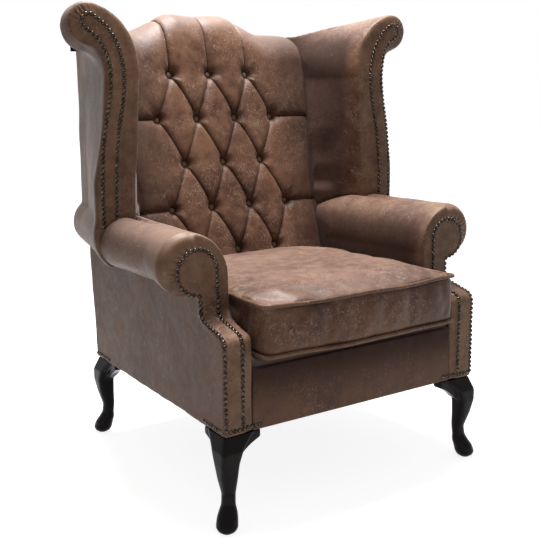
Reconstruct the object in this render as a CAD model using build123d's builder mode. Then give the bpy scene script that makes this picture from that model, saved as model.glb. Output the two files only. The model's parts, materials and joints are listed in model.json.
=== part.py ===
"""Wing chair with a buttoned back, scrolled wings and arms, a loose seat cushion and cabriole legs.

Millimetres. The origin lies on the floor under the middle of the chair, +Z is up and the
chair faces -Y. Right-hand pieces are on the +X side, and the left-hand ones mirror them.
"""

import os
from math import asin, atan2, cos, hypot, radians, sin, sqrt, tan

from build123d import *

os.makedirs("parts", exist_ok=True)

# Base box
leg_height = 206
base_front = -353
base_rear = 337
base_half_front = 352
base_half_rear = 313
rail_height = 84
rail_thickness = 28
frame_thickness = 32
skin = 6
border_thickness = 12

# Back, seen from the side
outside_back_lean = 3.5
inside_back_lean = 17.1
button_row_height = 485
button_row_depth = 138
pad_thickness = 40
pad_flap = 10
pillow_height = 27
pillow_first_rise = 15
pillow_first_inset = 8
pillow_inset = 27
pillow_foot_height = 492
post_depth = 45
upright_width = 28
rear_post_top = 860
lower_rail_height = 45
lower_rail_lift = 30

# Half widths of the back pad, from the seat to the shoulder
pad_half_low = 254
pad_waist_height = 640
pad_half_waist = 257
pad_shoulder_height = 790
pad_half_shoulder = 284
pad_half_neck = 302
pad_foot_height = 474

# Buttons
button_radius = 9
button_height = 7
button_sides = 12
button_taper = 35
button_rows = 5
column_pitch = 57
row_pitch = 115

# Crest
crest_top = 1080
crest_shoulder = 1034
crest_flat_half = 78
crest_shoulder_half = 195
crest_half = 303
crest_front = 303
crest_back = 397
crest_base = 985
crest_edge_radius = 36
crest_rail_front = 336
crest_rail_thickness = 40
crest_rail_cover = 30
crest_tuck = 21

# Arms, seen from the front
arm_thickness = 71
arm_setback = 91
knee_low = 392
knee_high = 452
knee_turn = 75
slab_shoulder_height = 500
roll_axis_half = 370
roll_axis_height = 554
roll_radius = 57
roll_rear = 40
flare_start = -170
flare_middle = -240
flare_drop = 7
flare_radius = 66
cap_radius = 58
cap_depth = 5
arm_rail_top = 500
arm_rail_height = 42
roll_board_thickness = 20
roll_board_half = 403
roll_board_foot_half = 381
roll_board_edge = 7
roll_board_rear = 84
facing_thickness = 4
arm_strip_middle = 327
arm_strip_width = 50
arm_ring_middle = 353
arm_ring_height = 532
arm_ring_radius = 51
arm_post_depth = 62

# Wings at their front edge, seen from the front
wing_front = 36
wing_base_height = 560
wing_belly_height = 690
wing_belly_inner = 335
wing_belly_outer = 431
wing_neck_height = 915
wing_neck_inner = 314
wing_neck_outer = 396
wing_scroll_half = 432
wing_scroll_height = 1036
wing_scroll_radius = 45
wing_strip_width = 42
wing_post_width = 22
wing_post_depth = 32
wing_post_top = 990
wing_rail_height = 40
wing_rail_thickness = 18
wing_rail_rear = 336
wing_rail_level = 925
wing_hem_height = 488

# Wings where they run out behind the back
wing_bend_height = 805
wing_hip_height = 605
wing_bulge_height = 548
wing_hem_turn = 30
crook_half_share = 0.26
crook_height_share = 0.7
throat_half_share = 0.25
throat_height_share = 0.66
bend_half_share = 0.35
arm_rear = 330
arm_rear_share = 0.45
arm_bend_half_share = 0.22
arm_bend_height_share = 0.66

# Seat
deck_top = 358
border_top = 338
cushion_height = 114
cushion_crown = 24
cushion_half_front = 268
cushion_half_rear = 238
cushion_front = -380
cushion_rear = 126
cushion_bow = 12.5
cushion_corner = 18
crown_inset = 60
crown_first_rise = 15
crown_top_inset = 150
piping_radius = 4.5
core_margin = 14
core_top_margin = 8
zip_length = 380
zip_width = 30
zip_tape_thickness = 1.5
slider_length = 14
slider_width = 9
slider_height = 3
pull_length = 18
pull_width = 6
pull_thickness = 1.5
running_gap = 0.3

# Legs and fittings
leg_inset = 3
leg_width = 72
leg_section_shares = [
    (1, 0.5, 0.11, 0.5),
    (0.84, 0.367, 0.3, 0.188),
    (0.714, 0.306, 0.45, 0.118),
    (0.544, 0.27, 0.72, 0.158),
    (0.379, 0.208, 0.96, 0.222),
    (0.272, 0.212, 0.97, 0.194),
    (0.199, 0.278, 0.97, 0.149),
    (0.146, 0.31, 0.97, 0.089),
    (0.063, 0.326, 0.97, 0.038),
    (0, 0.25, 0.97, 0.031),
]
glide_radius = 11
glide_height = 3
bolt_radius = 5
bolt_in_leg = 25
bolt_in_block = 35
block_leg = 70
block_height = 50
bolt_place = 14
ear_recess = 4
ear_length = 90
ear_step = 18
ear_hollow_length = 58
ear_hollow_height = 35
ear_foot_length = 32
ear_height = 59
ear_thickness = 26
strap_width = 50
strap_pitch = 90
strap_thickness = 2
seat_straps = 5
cross_straps = 3
back_straps = 5
back_rungs = 6
rung_lift = 40
dust_cover_thickness = 1.5
dust_cover_margin = 14
nail_radius = 4.8
nail_height = 3.2
nail_taper = 50
nail_pitch = 11
nail_inset = 4.5
nail_sides = 6
nail_path_steps = 2400
nail_turn_steps = 360
apron_nails = 4
side_nails = 8
lip_height = 11
overrun = 60

# Worked out once and used by several pieces
side_splay = atan2(base_half_front - base_half_rear, base_rear - base_front)
side_plane = Plane(
    origin=(base_half_front, base_front, 0),
    x_dir=(-sin(side_splay), cos(side_splay), 0),
    z_dir=(cos(side_splay), sin(side_splay), 0),
)
side_length = hypot(base_rear - base_front, base_half_front - base_half_rear)
back_lean = radians(inside_back_lean)
button_plane = Plane(
    origin=(0, button_row_depth, button_row_height),
    x_dir=(1, 0, 0),
    z_dir=(0, -cos(back_lean), sin(back_lean)),
)
web_plane = button_plane.offset(-pad_thickness)
outside_lean = radians(outside_back_lean)
outside_plane = Plane(
    origin=(0, base_rear, leg_height),
    x_dir=(-1, 0, 0),
    z_dir=(0, cos(outside_lean), -sin(outside_lean)),
)
arm_front = base_front + arm_setback
rail_top = leg_height + rail_height
strap_top = rail_top + 2 * strap_thickness
post_rear = arm_front + arm_post_depth
upright_outer = base_half_rear - skin - running_gap
cushion_bottom = deck_top + running_gap
cushion_top = cushion_bottom + cushion_height
knee_lean = radians(knee_turn)
knee_rise = (knee_high - knee_low) * sin(knee_lean) - arm_setback * cos(knee_lean)
knee_radius = knee_rise / (2 - 2 * cos(knee_lean))
knee_bend_depth = knee_radius * (1 - cos(knee_lean))
knee_bend_height = knee_radius * sin(knee_lean)

wing_foot = wing_base_height - arm_rail_height
wing_stations = [
    {
        "depth": wing_front,
        "middle": 395,
        "sway": 12,
        "neck_middle": 371,
        "scroll": wing_scroll_half,
        "ridge": wing_scroll_height + wing_scroll_radius,
        "radius": wing_scroll_radius,
        "tuck": 0,
        "curl": wing_scroll_radius,
        "inner_low": wing_belly_inner,
        "inner_neck": wing_neck_inner,
        "outer_neck": wing_neck_outer,
        "outer_low": wing_belly_outer,
        "bulge": 434,
    },
    {
        "depth": 84,
        "middle": 379,
        "sway": 10,
        "neck_middle": 361,
        "scroll": 427,
        "ridge": 1076,
        "radius": 50,
        "tuck": 4,
        "curl": 42,
        "inner_low": 308,
        "inner_neck": 311,
        "outer_neck": 384,
        "outer_low": 413,
        "bulge": 420,
    },
    {
        "depth": 305,
        "middle": 304,
        "sway": 4,
        "neck_middle": 312,
        "scroll": 309,
        "ridge": 1034,
        "radius": 20,
        "tuck": 21,
        "curl": -3,
        "inner_low": 185,
        "inner_neck": 299,
        "outer_neck": 328,
        "outer_low": 331,
        "bulge": 358,
    },
    {
        "depth": crest_back,
        "middle": 298,
        "sway": 2,
        "neck_middle": 299,
        "scroll": 297,
        "ridge": 1030,
        "radius": 12,
        "tuck": 11,
        "curl": -2,
        "inner_low": 175,
        "inner_neck": 290,
        "outer_neck": 307,
        "outer_low": 310,
        "bulge": 335,
    },
]


def up_the_back(height):
    """Distance up the leaning button plane of a point at this height."""
    return (height - button_row_height) / cos(back_lean)


def side_half(y, inwards=0):
    """Half the chair's width at this depth, on a plane this far inside the leather of the side."""
    return base_half_front - (y - base_front) * tan(side_splay) - inwards / cos(side_splay)


def arm_face(height):
    """Depth of the arm's front at this height, and how far it leans back there."""
    if height <= knee_low:
        return base_front, 0
    if height >= knee_high:
        return arm_front, 0
    if height < knee_low + knee_bend_height:
        lean = asin((height - knee_low) / knee_radius)
        return base_front + knee_radius * (1 - cos(lean)), lean
    if height > knee_high - knee_bend_height:
        lean = asin((knee_high - height) / knee_radius)
        return arm_front - knee_radius * (1 - cos(lean)), lean
    climb = height - knee_low - knee_bend_height
    return base_front + knee_bend_depth + climb * tan(knee_lean), knee_lean


# Outlines that several pieces share
with BuildSketch(Plane.YZ) as arm_profile:
    with BuildLine():
        low_bend = (base_front + knee_bend_depth, knee_low + knee_bend_height)
        high_bend = (arm_front - knee_bend_depth, knee_high - knee_bend_height)
        TangentArc((base_front, knee_low), low_bend, tangent=(0, 1))
        Line(low_bend, high_bend)
        TangentArc((arm_front, knee_high), high_bend, tangent=(0, -1))
        Polyline(
            (arm_front, knee_high),
            (arm_front, crest_top + overrun),
            (crest_back + overrun, crest_top + overrun),
            (crest_back + overrun, 0),
            (base_front, 0),
            (base_front, knee_low),
        )
    make_face()

with BuildSketch(Plane.YZ) as arm_core_profile:
    add(arm_profile.sketch_local)
    offset(amount=-facing_thickness, mode=Mode.REPLACE)

pad_sides = [
    (pad_half_low, up_the_back(deck_top)),
    (pad_half_waist, up_the_back(pad_waist_height)),
    (pad_half_shoulder, up_the_back(pad_shoulder_height)),
    (pad_half_neck, up_the_back(wing_neck_height)),
    (crest_half, up_the_back(crest_base)),
    (crest_half, up_the_back(crest_shoulder)),
]
with BuildSketch(web_plane) as pad_outline:
    with BuildLine():
        Polyline((0, pad_sides[0][1]), *pad_sides, (0, pad_sides[-1][1]))
        mirror(about=Plane.YZ)
    make_face()

with BuildSketch(Plane.XZ) as crest_outline:
    with BuildLine():
        swell_half = (crest_flat_half + crest_shoulder_half) / 2
        swell_middle = (swell_half, (crest_top + crest_shoulder) / 2)
        Line((0, crest_top), (crest_flat_half, crest_top))
        TangentArc((crest_flat_half, crest_top), swell_middle, tangent=(1, 0))
        TangentArc((crest_shoulder_half, crest_shoulder), swell_middle, tangent=(-1, 0))
        Polyline(
            (crest_shoulder_half, crest_shoulder),
            (crest_half, crest_shoulder),
            (crest_half, crest_base),
            (0, crest_base),
        )
        mirror(about=Plane.YZ)
    make_face()

with BuildSketch() as cushion_outline:
    with BuildLine():
        front_left = (-cushion_half_front, cushion_front)
        front_right = (cushion_half_front, cushion_front)
        ThreePointArc(front_left, (0, cushion_front - cushion_bow), front_right)
        Polyline(
            front_right,
            (cushion_half_rear, cushion_rear),
            (-cushion_half_rear, cushion_rear),
            front_left,
        )
    make_face()
    fillet(cushion_outline.vertices(), radius=cushion_corner)


def save(piece, name):
    """Label a finished piece and write it as its own file."""
    piece.part.label = name
    export_step(piece.part, f"parts/{name}.step")


def save_pair(right, name):
    """Write a right-hand piece and its mirror image."""
    save(right, f"{name}_right")
    with BuildPart() as left:
        mirror(right.part, about=Plane.YZ)
    save(left, f"{name}_left")


# Seat frame
with BuildPart() as arm_post:
    with BuildSketch(side_plane.offset(-skin)):
        Rectangle(side_length, arm_rail_top, align=Align.MIN)
    extrude(amount=-frame_thickness)
    with BuildSketch(Plane.YZ):
        with BuildLine():
            Polyline(
                (base_front, leg_height),
                (post_rear, leg_height),
                (post_rear, arm_rail_top - arm_rail_height),
                (arm_front + arm_post_depth / 2, arm_rail_top - arm_rail_height),
                (arm_front + arm_post_depth / 2, arm_rail_top),
                (base_front, arm_rail_top),
                (base_front, leg_height),
            )
        make_face()
    extrude(amount=base_half_front, mode=Mode.INTERSECT)
    with BuildSketch(Plane.YZ):
        add(arm_core_profile.sketch_local)
    extrude(amount=base_half_front, mode=Mode.INTERSECT)

with BuildPart() as back_upright:
    with BuildSketch(web_plane.offset(-2 * strap_thickness)):
        with Locations((upright_outer - upright_width / 2, up_the_back(rail_top) - overrun)):
            Rectangle(
                upright_width,
                up_the_back(crest_base) - up_the_back(rail_top) + 2 * overrun,
                align=(Align.CENTER, Align.MIN),
            )
    extrude(amount=-post_depth)
    split(bisect_by=Plane.XY.offset(rail_top), keep=Keep.TOP)
    split(bisect_by=Plane.XY.offset(crest_base), keep=Keep.BOTTOM)
    split(bisect_by=outside_plane.offset(-skin), keep=Keep.BOTTOM)

with BuildPart() as rear_post:
    with BuildSketch(outside_plane.offset(-skin)):
        with Locations((-upright_outer, -overrun)):
            Rectangle(upright_width, rear_post_top, align=Align.MIN)
    extrude(amount=-post_depth)
    split(bisect_by=Plane.XY.offset(leg_height), keep=Keep.TOP)
    split(bisect_by=Plane.XY.offset(rear_post_top), keep=Keep.BOTTOM)
    split(bisect_by=web_plane.offset(-2 * strap_thickness - post_depth), keep=Keep.BOTTOM)


front_rail_face = base_front + border_thickness
front_rail_back = front_rail_face + rail_thickness

with BuildPart() as front_seat_rail:
    with BuildSketch(Plane.XY.offset(leg_height)):
        with Locations((0, front_rail_face)):
            Rectangle(2 * base_half_front, rail_thickness, align=(Align.CENTER, Align.MIN))
    extrude(amount=rail_height)
    add(arm_post.part, mode=Mode.SUBTRACT)
    mirror(arm_post.part, about=Plane.YZ, mode=Mode.SUBTRACT)
    inner_width = 2 * side_half(front_rail_face, skin + frame_thickness)
    Box(inner_width, 2 * crest_back, 2 * rail_top, mode=Mode.INTERSECT)

with BuildPart() as side_seat_rail:
    with BuildSketch(side_plane.offset(-skin)):
        with Locations((0, leg_height)):
            Rectangle(side_length, rail_height, align=Align.MIN)
    extrude(amount=-rail_thickness)
    split(bisect_by=Plane.XZ.offset(-post_rear), keep=Keep.BOTTOM)
    split(bisect_by=outside_plane.offset(-skin - post_depth), keep=Keep.BOTTOM)

with BuildPart() as rear_seat_rail:
    with BuildSketch(outside_plane.offset(-skin)):
        Rectangle(2 * (upright_outer - upright_width), 2 * rail_top)
    extrude(amount=-rail_thickness)
    split(bisect_by=Plane.XY.offset(leg_height), keep=Keep.TOP)
    split(bisect_by=Plane.XY.offset(rail_top), keep=Keep.BOTTOM)

corner_front = (side_half(front_rail_back + block_leg, skin + frame_thickness), front_rail_back)
rear_rail_face = base_rear - skin - rail_thickness
corner_rear = (upright_outer - upright_width, rear_rail_face)
leg_corners = [
    (base_half_front - leg_inset, base_front + leg_inset),
    (base_half_rear - leg_inset, base_rear - leg_inset),
]

with BuildPart() as leg_bolt_pair:
    with BuildSketch(Plane.XY.offset(leg_height - bolt_in_leg)):
        with Locations(
            (corner_front[0] - bolt_place, corner_front[1] + bolt_place),
            (corner_rear[0] - bolt_place, corner_rear[1] - bolt_place),
        ):
            Circle(bolt_radius)
    extrude(amount=bolt_in_leg + bolt_in_block)

with BuildPart() as leg_bolts:
    add(leg_bolt_pair.part)
    mirror(about=Plane.YZ)

with BuildPart() as corner_blocks:
    with BuildSketch(Plane.XY.offset(leg_height)):
        for (x, y), step in ((corner_front, block_leg), (corner_rear, -block_leg)):
            with BuildLine():
                Polyline((x, y), (x, y + step), (x - block_leg, y), (x, y))
            make_face()
        mirror(about=Plane.YZ)
    extrude(amount=block_height)
    for piece in (leg_bolts, rear_seat_rail):
        add(piece.part, mode=Mode.SUBTRACT)

with BuildPart() as back_lower_rail:
    with BuildSketch(web_plane.offset(-strap_thickness)):
        with Locations((0, up_the_back(rail_top + lower_rail_lift))):
            Rectangle(
                2 * (upright_outer - upright_width),
                lower_rail_height,
                align=(Align.CENTER, Align.MIN),
            )
    extrude(amount=-rail_thickness)

with BuildPart() as crest_rail:
    with BuildSketch(Plane.XZ.offset(-crest_rail_front)):
        add(crest_outline.sketch_local)
        offset(amount=-crest_rail_cover, kind=Kind.INTERSECTION, mode=Mode.REPLACE)
        with Locations((0, crest_base)):
            Rectangle(
                2 * upright_outer, crest_rail_cover, align=(Align.CENTER, Align.MIN)
            )
    extrude(amount=-crest_rail_thickness)

with BuildPart() as back_webbing:
    straps_from = up_the_back(rail_top + lower_rail_lift)
    straps_to = up_the_back(crest_base + crest_rail_cover)
    with BuildSketch(web_plane):
        with Locations((0, (straps_from + straps_to) / 2)):
            with GridLocations(strap_pitch, 0, back_straps, 1):
                Rectangle(strap_width, straps_to - straps_from)
    extrude(amount=-strap_thickness)
    with BuildSketch(web_plane.offset(-strap_thickness)):
        for rung in range(back_rungs):
            with Locations((0, straps_from + lower_rail_height + rung_lift + rung * strap_pitch)):
                Rectangle(2 * upright_outer - upright_width, strap_width)
    extrude(amount=-strap_thickness)
    add(crest_rail.part, mode=Mode.SUBTRACT)

with BuildPart() as seat_webbing:
    with BuildSketch(Plane.XY.offset(rail_top)):
        with Locations((0, (front_rail_face + rear_rail_face + rail_thickness) / 2)):
            with GridLocations(strap_pitch, 0, seat_straps, 1):
                Rectangle(strap_width, rear_rail_face + rail_thickness - front_rail_face)
    extrude(amount=strap_thickness)

with BuildPart() as seat_cross_webbing:
    for strap in range(cross_straps):
        strap_middle = post_rear + strap_width + strap * strap_pitch
        strap_half = side_half(strap_middle + strap_width / 2, skin + rail_thickness / 2)
        with BuildSketch(Plane.XY.offset(rail_top + strap_thickness)):
            with Locations((0, strap_middle)):
                Rectangle(2 * strap_half, strap_width)
        extrude(amount=strap_thickness)
        with BuildSketch(Plane.XY.offset(rail_top)):
            for side in (-1, 1):
                with Locations((side * (strap_half - rail_thickness / 4), strap_middle)):
                    Rectangle(rail_thickness / 2, strap_width)
        extrude(amount=strap_thickness)

with BuildPart() as arm_rail:
    with BuildSketch(side_plane.offset(-skin)):
        with Locations((0, arm_rail_top - arm_rail_height)):
            Rectangle(side_length, arm_rail_height, align=Align.MIN)
    extrude(amount=-frame_thickness)
    split(bisect_by=Plane.XZ.offset(-arm_front - arm_post_depth / 2), keep=Keep.BOTTOM)
    split(bisect_by=outside_plane.offset(-skin - post_depth), keep=Keep.BOTTOM)
    for piece in (back_upright, back_webbing):
        add(piece.part, mode=Mode.SUBTRACT)

board_inner = side_half(arm_front, skin + frame_thickness)
board_front = arm_front + facing_thickness
board_top = arm_rail_top + roll_board_thickness
with BuildPart() as arm_roll_board:
    with BuildSketch(Plane.XZ.offset(-board_front)):
        with BuildLine():
            Polyline(
                (board_inner, arm_rail_top),
                (roll_board_foot_half, arm_rail_top),
                (roll_board_half, board_top - roll_board_edge),
                (roll_board_half, board_top),
                (board_inner, board_top),
                (board_inner, arm_rail_top),
            )
        make_face()
    extrude(amount=board_front - roll_board_rear)


def wing_middle(station):
    """Middle line of the wing's thickness at one station, from the arm up to the scroll."""
    return [
        (station["middle"], wing_foot),
        (station["middle"] + station["sway"] / 2, wing_belly_height),
        (station["middle"] - station["sway"] / 2, wing_bend_height),
        (station["neck_middle"], wing_neck_height),
        (station["scroll"] - station["curl"], station["ridge"] - 2 * station["radius"]),
        (station["scroll"], station["ridge"] - station["radius"]),
    ]


def wing_section(station, side):
    """Closed outline of the wing's inner or outer half at one station, seen from the front."""
    ridge = (station["scroll"], station["ridge"])
    middle = wing_middle(station)
    with BuildSketch(Plane.XZ.offset(-station["depth"])) as section:
        with BuildLine():
            Spline(*middle)
            Line(middle[-1], ridge)
            if side == "inner":
                neck = (station["inner_neck"], wing_neck_height)
                low = (station["inner_low"], wing_belly_height)
                crook = (
                    neck[0] + (ridge[0] - neck[0]) * crook_half_share,
                    neck[1] + (ridge[1] - neck[1]) * crook_height_share,
                )
                bend_half = neck[0] + (low[0] - neck[0]) * bend_half_share
                ThreePointArc(ridge, crook, neck)
                ThreePointArc(neck, (bend_half, wing_bend_height), low)
                Polyline(low, (low[0], wing_foot), middle[0])
            else:
                neck = (station["outer_neck"], wing_neck_height)
                low = (station["outer_low"], wing_belly_height)
                roll = (ridge[0] + station["radius"], ridge[1] - station["radius"])
                under = (ridge[0] + station["tuck"], ridge[1] - 2 * station["radius"])
                throat = (
                    neck[0] + (under[0] - neck[0]) * throat_half_share,
                    neck[1] + (under[1] - neck[1]) * throat_height_share,
                )
                bend_half = neck[0] + (low[0] - neck[0]) * bend_half_share
                bulge = (station["bulge"], wing_bulge_height)
                turn = (station["bulge"] - wing_hem_turn, wing_hem_height + wing_hem_turn / 2)
                hem = side_half(station["depth"], frame_thickness)
                ThreePointArc(ridge, roll, under)
                ThreePointArc(under, throat, neck)
                ThreePointArc(neck, (bend_half, wing_bend_height), low)
                Line(low, (low[0], wing_hip_height))
                ThreePointArc((low[0], wing_hip_height), bulge, turn)
                Polyline(turn, (hem, wing_hem_height), (hem, wing_foot), middle[0])
        make_face()
    return section.sketch


with BuildPart() as wing_post:
    with BuildSketch(Plane.XZ.offset(-wing_front)):
        with BuildLine():
            Spline(*wing_middle(wing_stations[0]))
        trace(line_width=wing_post_width)
    extrude(amount=-wing_post_depth)
    split(bisect_by=Plane.XY.offset(board_top), keep=Keep.TOP)
    split(bisect_by=Plane.XY.offset(wing_post_top), keep=Keep.BOTTOM)

rail_from = Vector(wing_stations[0]["neck_middle"], wing_front + wing_post_depth / 2)
rail_to = Vector(pad_half_neck + wing_rail_thickness / 2, wing_rail_rear)
rail_along = (rail_to - rail_from).normalized()
with BuildPart() as wing_top_rail:
    with BuildSketch(Plane(origin=rail_from, x_dir=rail_along, z_dir=(0, 0, 1))):
        Rectangle(
            (rail_to - rail_from).length,
            wing_rail_thickness,
            align=(Align.MIN, Align.CENTER),
        )
    extrude(amount=wing_rail_level + wing_rail_height)
    split(bisect_by=Plane.XY.offset(wing_rail_level), keep=Keep.TOP)
    add(wing_post.part, mode=Mode.SUBTRACT)
    add(back_upright.part, mode=Mode.SUBTRACT)
    split(bisect_by=Plane.XZ.offset(-wing_front - wing_post_depth / 2), keep=Keep.BOTTOM)

# The arm's leather roll, which flares towards the scroll at its front
roll_stations = [
    (roll_rear, 0, roll_radius),
    (flare_start, 0, roll_radius),
    (flare_middle, flare_drop, flare_radius),
    (arm_front + facing_thickness + cap_depth, flare_drop, cap_radius),
    (arm_front + facing_thickness, flare_drop, arm_ring_radius),
]
with BuildPart() as arm_roll:
    for depth, drop, radius in roll_stations:
        with BuildSketch(Plane.XZ.offset(-depth)):
            with Locations((roll_axis_half, roll_axis_height - drop)):
                Circle(radius)
    loft(ruled=True)

with BuildPart() as outside_arm:
    with BuildSketch(side_plane):
        Rectangle(side_length, roll_axis_height, align=Align.MIN)
    extrude(amount=-skin)
    with BuildSketch(Plane.YZ):
        add(arm_core_profile.sketch_local)
    extrude(amount=base_half_front, mode=Mode.INTERSECT)
    split(bisect_by=outside_plane.offset(-skin), keep=Keep.BOTTOM)
    split(bisect_by=Plane.XY.offset(leg_height), keep=Keep.TOP)
    add(arm_roll.part, mode=Mode.SUBTRACT)
    add(arm_roll_board.part, mode=Mode.SUBTRACT)


def arm_section(depth, roll_share):
    """Padding inside the arm and over its rail at one depth, seen from the front."""
    inner = side_half(depth, arm_thickness)
    behind = side_half(depth, skin + frame_thickness)
    top_half = inner + (roll_axis_half - inner) * roll_share
    top = (top_half, roll_axis_height + roll_radius)
    shoulder = (inner, slab_shoulder_height)
    bend = (
        inner + (top[0] - inner) * arm_bend_half_share,
        shoulder[1] + (top[1] - shoulder[1]) * arm_bend_height_share,
    )
    with BuildSketch(Plane.XZ.offset(-depth)) as section:
        with BuildLine():
            ThreePointArc(shoulder, bend, top)
            Polyline(
                top,
                (top_half, arm_rail_top),
                (behind, arm_rail_top),
                (behind, strap_top),
                (inner, strap_top),
                shoulder,
            )
        make_face()
    return section.sketch


with BuildPart() as inside_arm_blank:
    loft([arm_section(base_front, 1), arm_section(arm_rear, arm_rear_share)], ruled=True)
    with BuildSketch(side_plane.offset(-skin - frame_thickness)):
        Rectangle(border_thickness * 2, strap_top, align=Align.MIN)
    extrude(amount=skin + frame_thickness - arm_thickness)
    with BuildSketch(Plane.YZ):
        add(arm_core_profile.sketch_local)
    extrude(amount=base_half_front, mode=Mode.INTERSECT)
    split(bisect_by=Plane.XY.offset(leg_height), keep=Keep.TOP)
    add(arm_roll.part)
    for piece in (arm_post, arm_rail, arm_roll_board, outside_arm, front_seat_rail):
        add(piece.part, mode=Mode.SUBTRACT)
    for piece in (back_upright, rear_post, wing_post, back_webbing, back_lower_rail):
        add(piece.part, mode=Mode.SUBTRACT)


with BuildPart() as back_space:
    with BuildSketch(web_plane):
        add(pad_outline.sketch_local)
    extrude(amount=pad_thickness + pillow_height + overrun)
    with BuildSketch(web_plane):
        add(pad_outline.sketch_local)
    extrude(amount=-2 * crest_back)
    with BuildSketch(Plane.XZ.offset(-crest_front)):
        add(crest_outline.sketch_local)
    extrude(amount=-(crest_back - crest_front))

with BuildPart() as inside_arm:
    add(inside_arm_blank.part)
    add(back_space.part, mode=Mode.SUBTRACT)

with BuildPart() as outside_back:
    with BuildSketch(outside_plane):
        Rectangle(2 * base_half_front, 2 * crest_base)
    extrude(amount=-skin)
    split(bisect_by=Plane.XY.offset(leg_height), keep=Keep.TOP)
    split(bisect_by=Plane.XY.offset(crest_base), keep=Keep.BOTTOM)
    with BuildSketch(Plane.XZ.offset(-base_rear + overrun)):
        with BuildLine():
            Polyline(
                (0, leg_height),
                (side_half(base_rear), leg_height),
                (side_half(base_rear), wing_hem_height),
                (crest_half, wing_neck_height),
                (crest_half, crest_base),
                (0, crest_base),
            )
            mirror(about=Plane.YZ)
        make_face()
    extrude(amount=-2 * overrun - skin, mode=Mode.INTERSECT)

with BuildPart() as inside_wing:
    for ahead, behind in zip(wing_stations, wing_stations[1:]):
        loft([wing_section(ahead, "inner"), wing_section(behind, "inner")], ruled=True)
    split(bisect_by=Plane.XZ.offset(-crest_rail_front), keep=Keep.TOP)
    for piece in (inside_arm_blank, back_space, wing_post, wing_top_rail):
        add(piece.part, mode=Mode.SUBTRACT)
    for piece in (back_upright, rear_post, arm_roll_board, back_webbing, arm_rail, outside_arm):
        add(piece.part, mode=Mode.SUBTRACT)
    add(crest_rail.part, mode=Mode.SUBTRACT)

with BuildPart() as outside_wing:
    for ahead, behind in zip(wing_stations, wing_stations[1:]):
        loft([wing_section(ahead, "outer"), wing_section(behind, "outer")], ruled=True)
    for piece in (inside_arm_blank, back_space, wing_post, wing_top_rail, outside_back):
        add(piece.part, mode=Mode.SUBTRACT)
    for piece in (back_upright, rear_post, arm_roll_board, back_webbing, arm_rail, outside_arm):
        add(piece.part, mode=Mode.SUBTRACT)
    add(crest_rail.part, mode=Mode.SUBTRACT)

# Nailed facings at the fronts of the arms and wings
def steps_along(path, pitch):
    """Points one pitch apart along a chain of closely set points."""
    places = [path[0]]
    travelled = 0
    for start, end in zip(path, path[1:]):
        travelled += (end - start).length
        if travelled >= pitch:
            places.append(end)
            travelled -= pitch
    return places


def beside(line, share, sideways):
    """Point this far to the right of a line, at a share of its length."""
    place = line @ share
    along = line % share
    return Vector(place.X + along.Y * sideways, place.Y - along.X * sideways)


arm_strip_inner = arm_strip_middle - arm_strip_width / 2
arm_strip_outer = arm_strip_middle + arm_strip_width / 2
arm_nail_inner = arm_strip_inner + nail_inset
arm_nail_outer = arm_strip_outer - nail_inset
nail_row = leg_height + lip_height

with BuildPart() as arm_facing:
    with BuildSketch(Plane.XZ):
        with Locations((arm_strip_inner, leg_height)):
            Rectangle(arm_strip_width, arm_ring_height - leg_height, align=Align.MIN)
        with Locations((arm_ring_middle, arm_ring_height)):
            Circle(arm_ring_radius)
    extrude(amount=-base_front)
    with BuildSketch(Plane.YZ):
        add(arm_profile.sketch_local)
        add(arm_core_profile.sketch_local, mode=Mode.SUBTRACT)
    extrude(amount=roll_axis_half + flare_radius, mode=Mode.INTERSECT)

with BuildLine() as arm_nail_line:
    nail_ring = arm_ring_radius - nail_inset
    ring_drop = sqrt(nail_ring**2 - (arm_ring_middle - arm_nail_outer) ** 2)
    ring_foot = (arm_nail_outer, arm_ring_height - ring_drop)
    ring_far = (arm_ring_middle + nail_ring, arm_ring_height)
    Line((arm_nail_inner, nail_row), (arm_nail_inner, arm_ring_height))
    ThreePointArc((arm_nail_inner, arm_ring_height), ring_far, ring_foot)
    Line(ring_foot, (arm_nail_outer, nail_row))
arm_nail_path = []
for share in range(nail_path_steps + 1):
    flat = arm_nail_line.wires()[0] @ (share / nail_path_steps)
    arm_nail_path.append(Vector(flat.X, arm_face(flat.Y)[0], flat.Y))
knee_clearance = nail_radius**2 / (2 * knee_radius)
arm_nail_planes = []
for place in steps_along(arm_nail_path, nail_pitch):
    lean = arm_face(place.Z)[1]
    outwards = Vector(0, -cos(lean), sin(lean))
    if lean:
        place = place + outwards * knee_clearance
    arm_nail_planes.append(Plane(origin=place, x_dir=(1, 0, 0), z_dir=outwards))
with BuildPart() as arm_nails:
    with BuildSketch(*arm_nail_planes):
        RegularPolygon(nail_radius, nail_sides)
    extrude(amount=nail_height, taper=nail_taper)

with BuildPart() as wing_facing:
    with BuildSketch(Plane.XZ.offset(facing_thickness - wing_front)):
        with BuildLine():
            wing_strip = Spline(*wing_middle(wing_stations[0]))
        trace(line_width=wing_strip_width)
        with Locations(wing_middle(wing_stations[0])[-1]):
            Circle(wing_strip_width / 2)
    extrude(amount=-facing_thickness)
    add(arm_roll.part, mode=Mode.SUBTRACT)
    split(bisect_by=Plane.XY.offset(roll_axis_height), keep=Keep.TOP)

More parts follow.
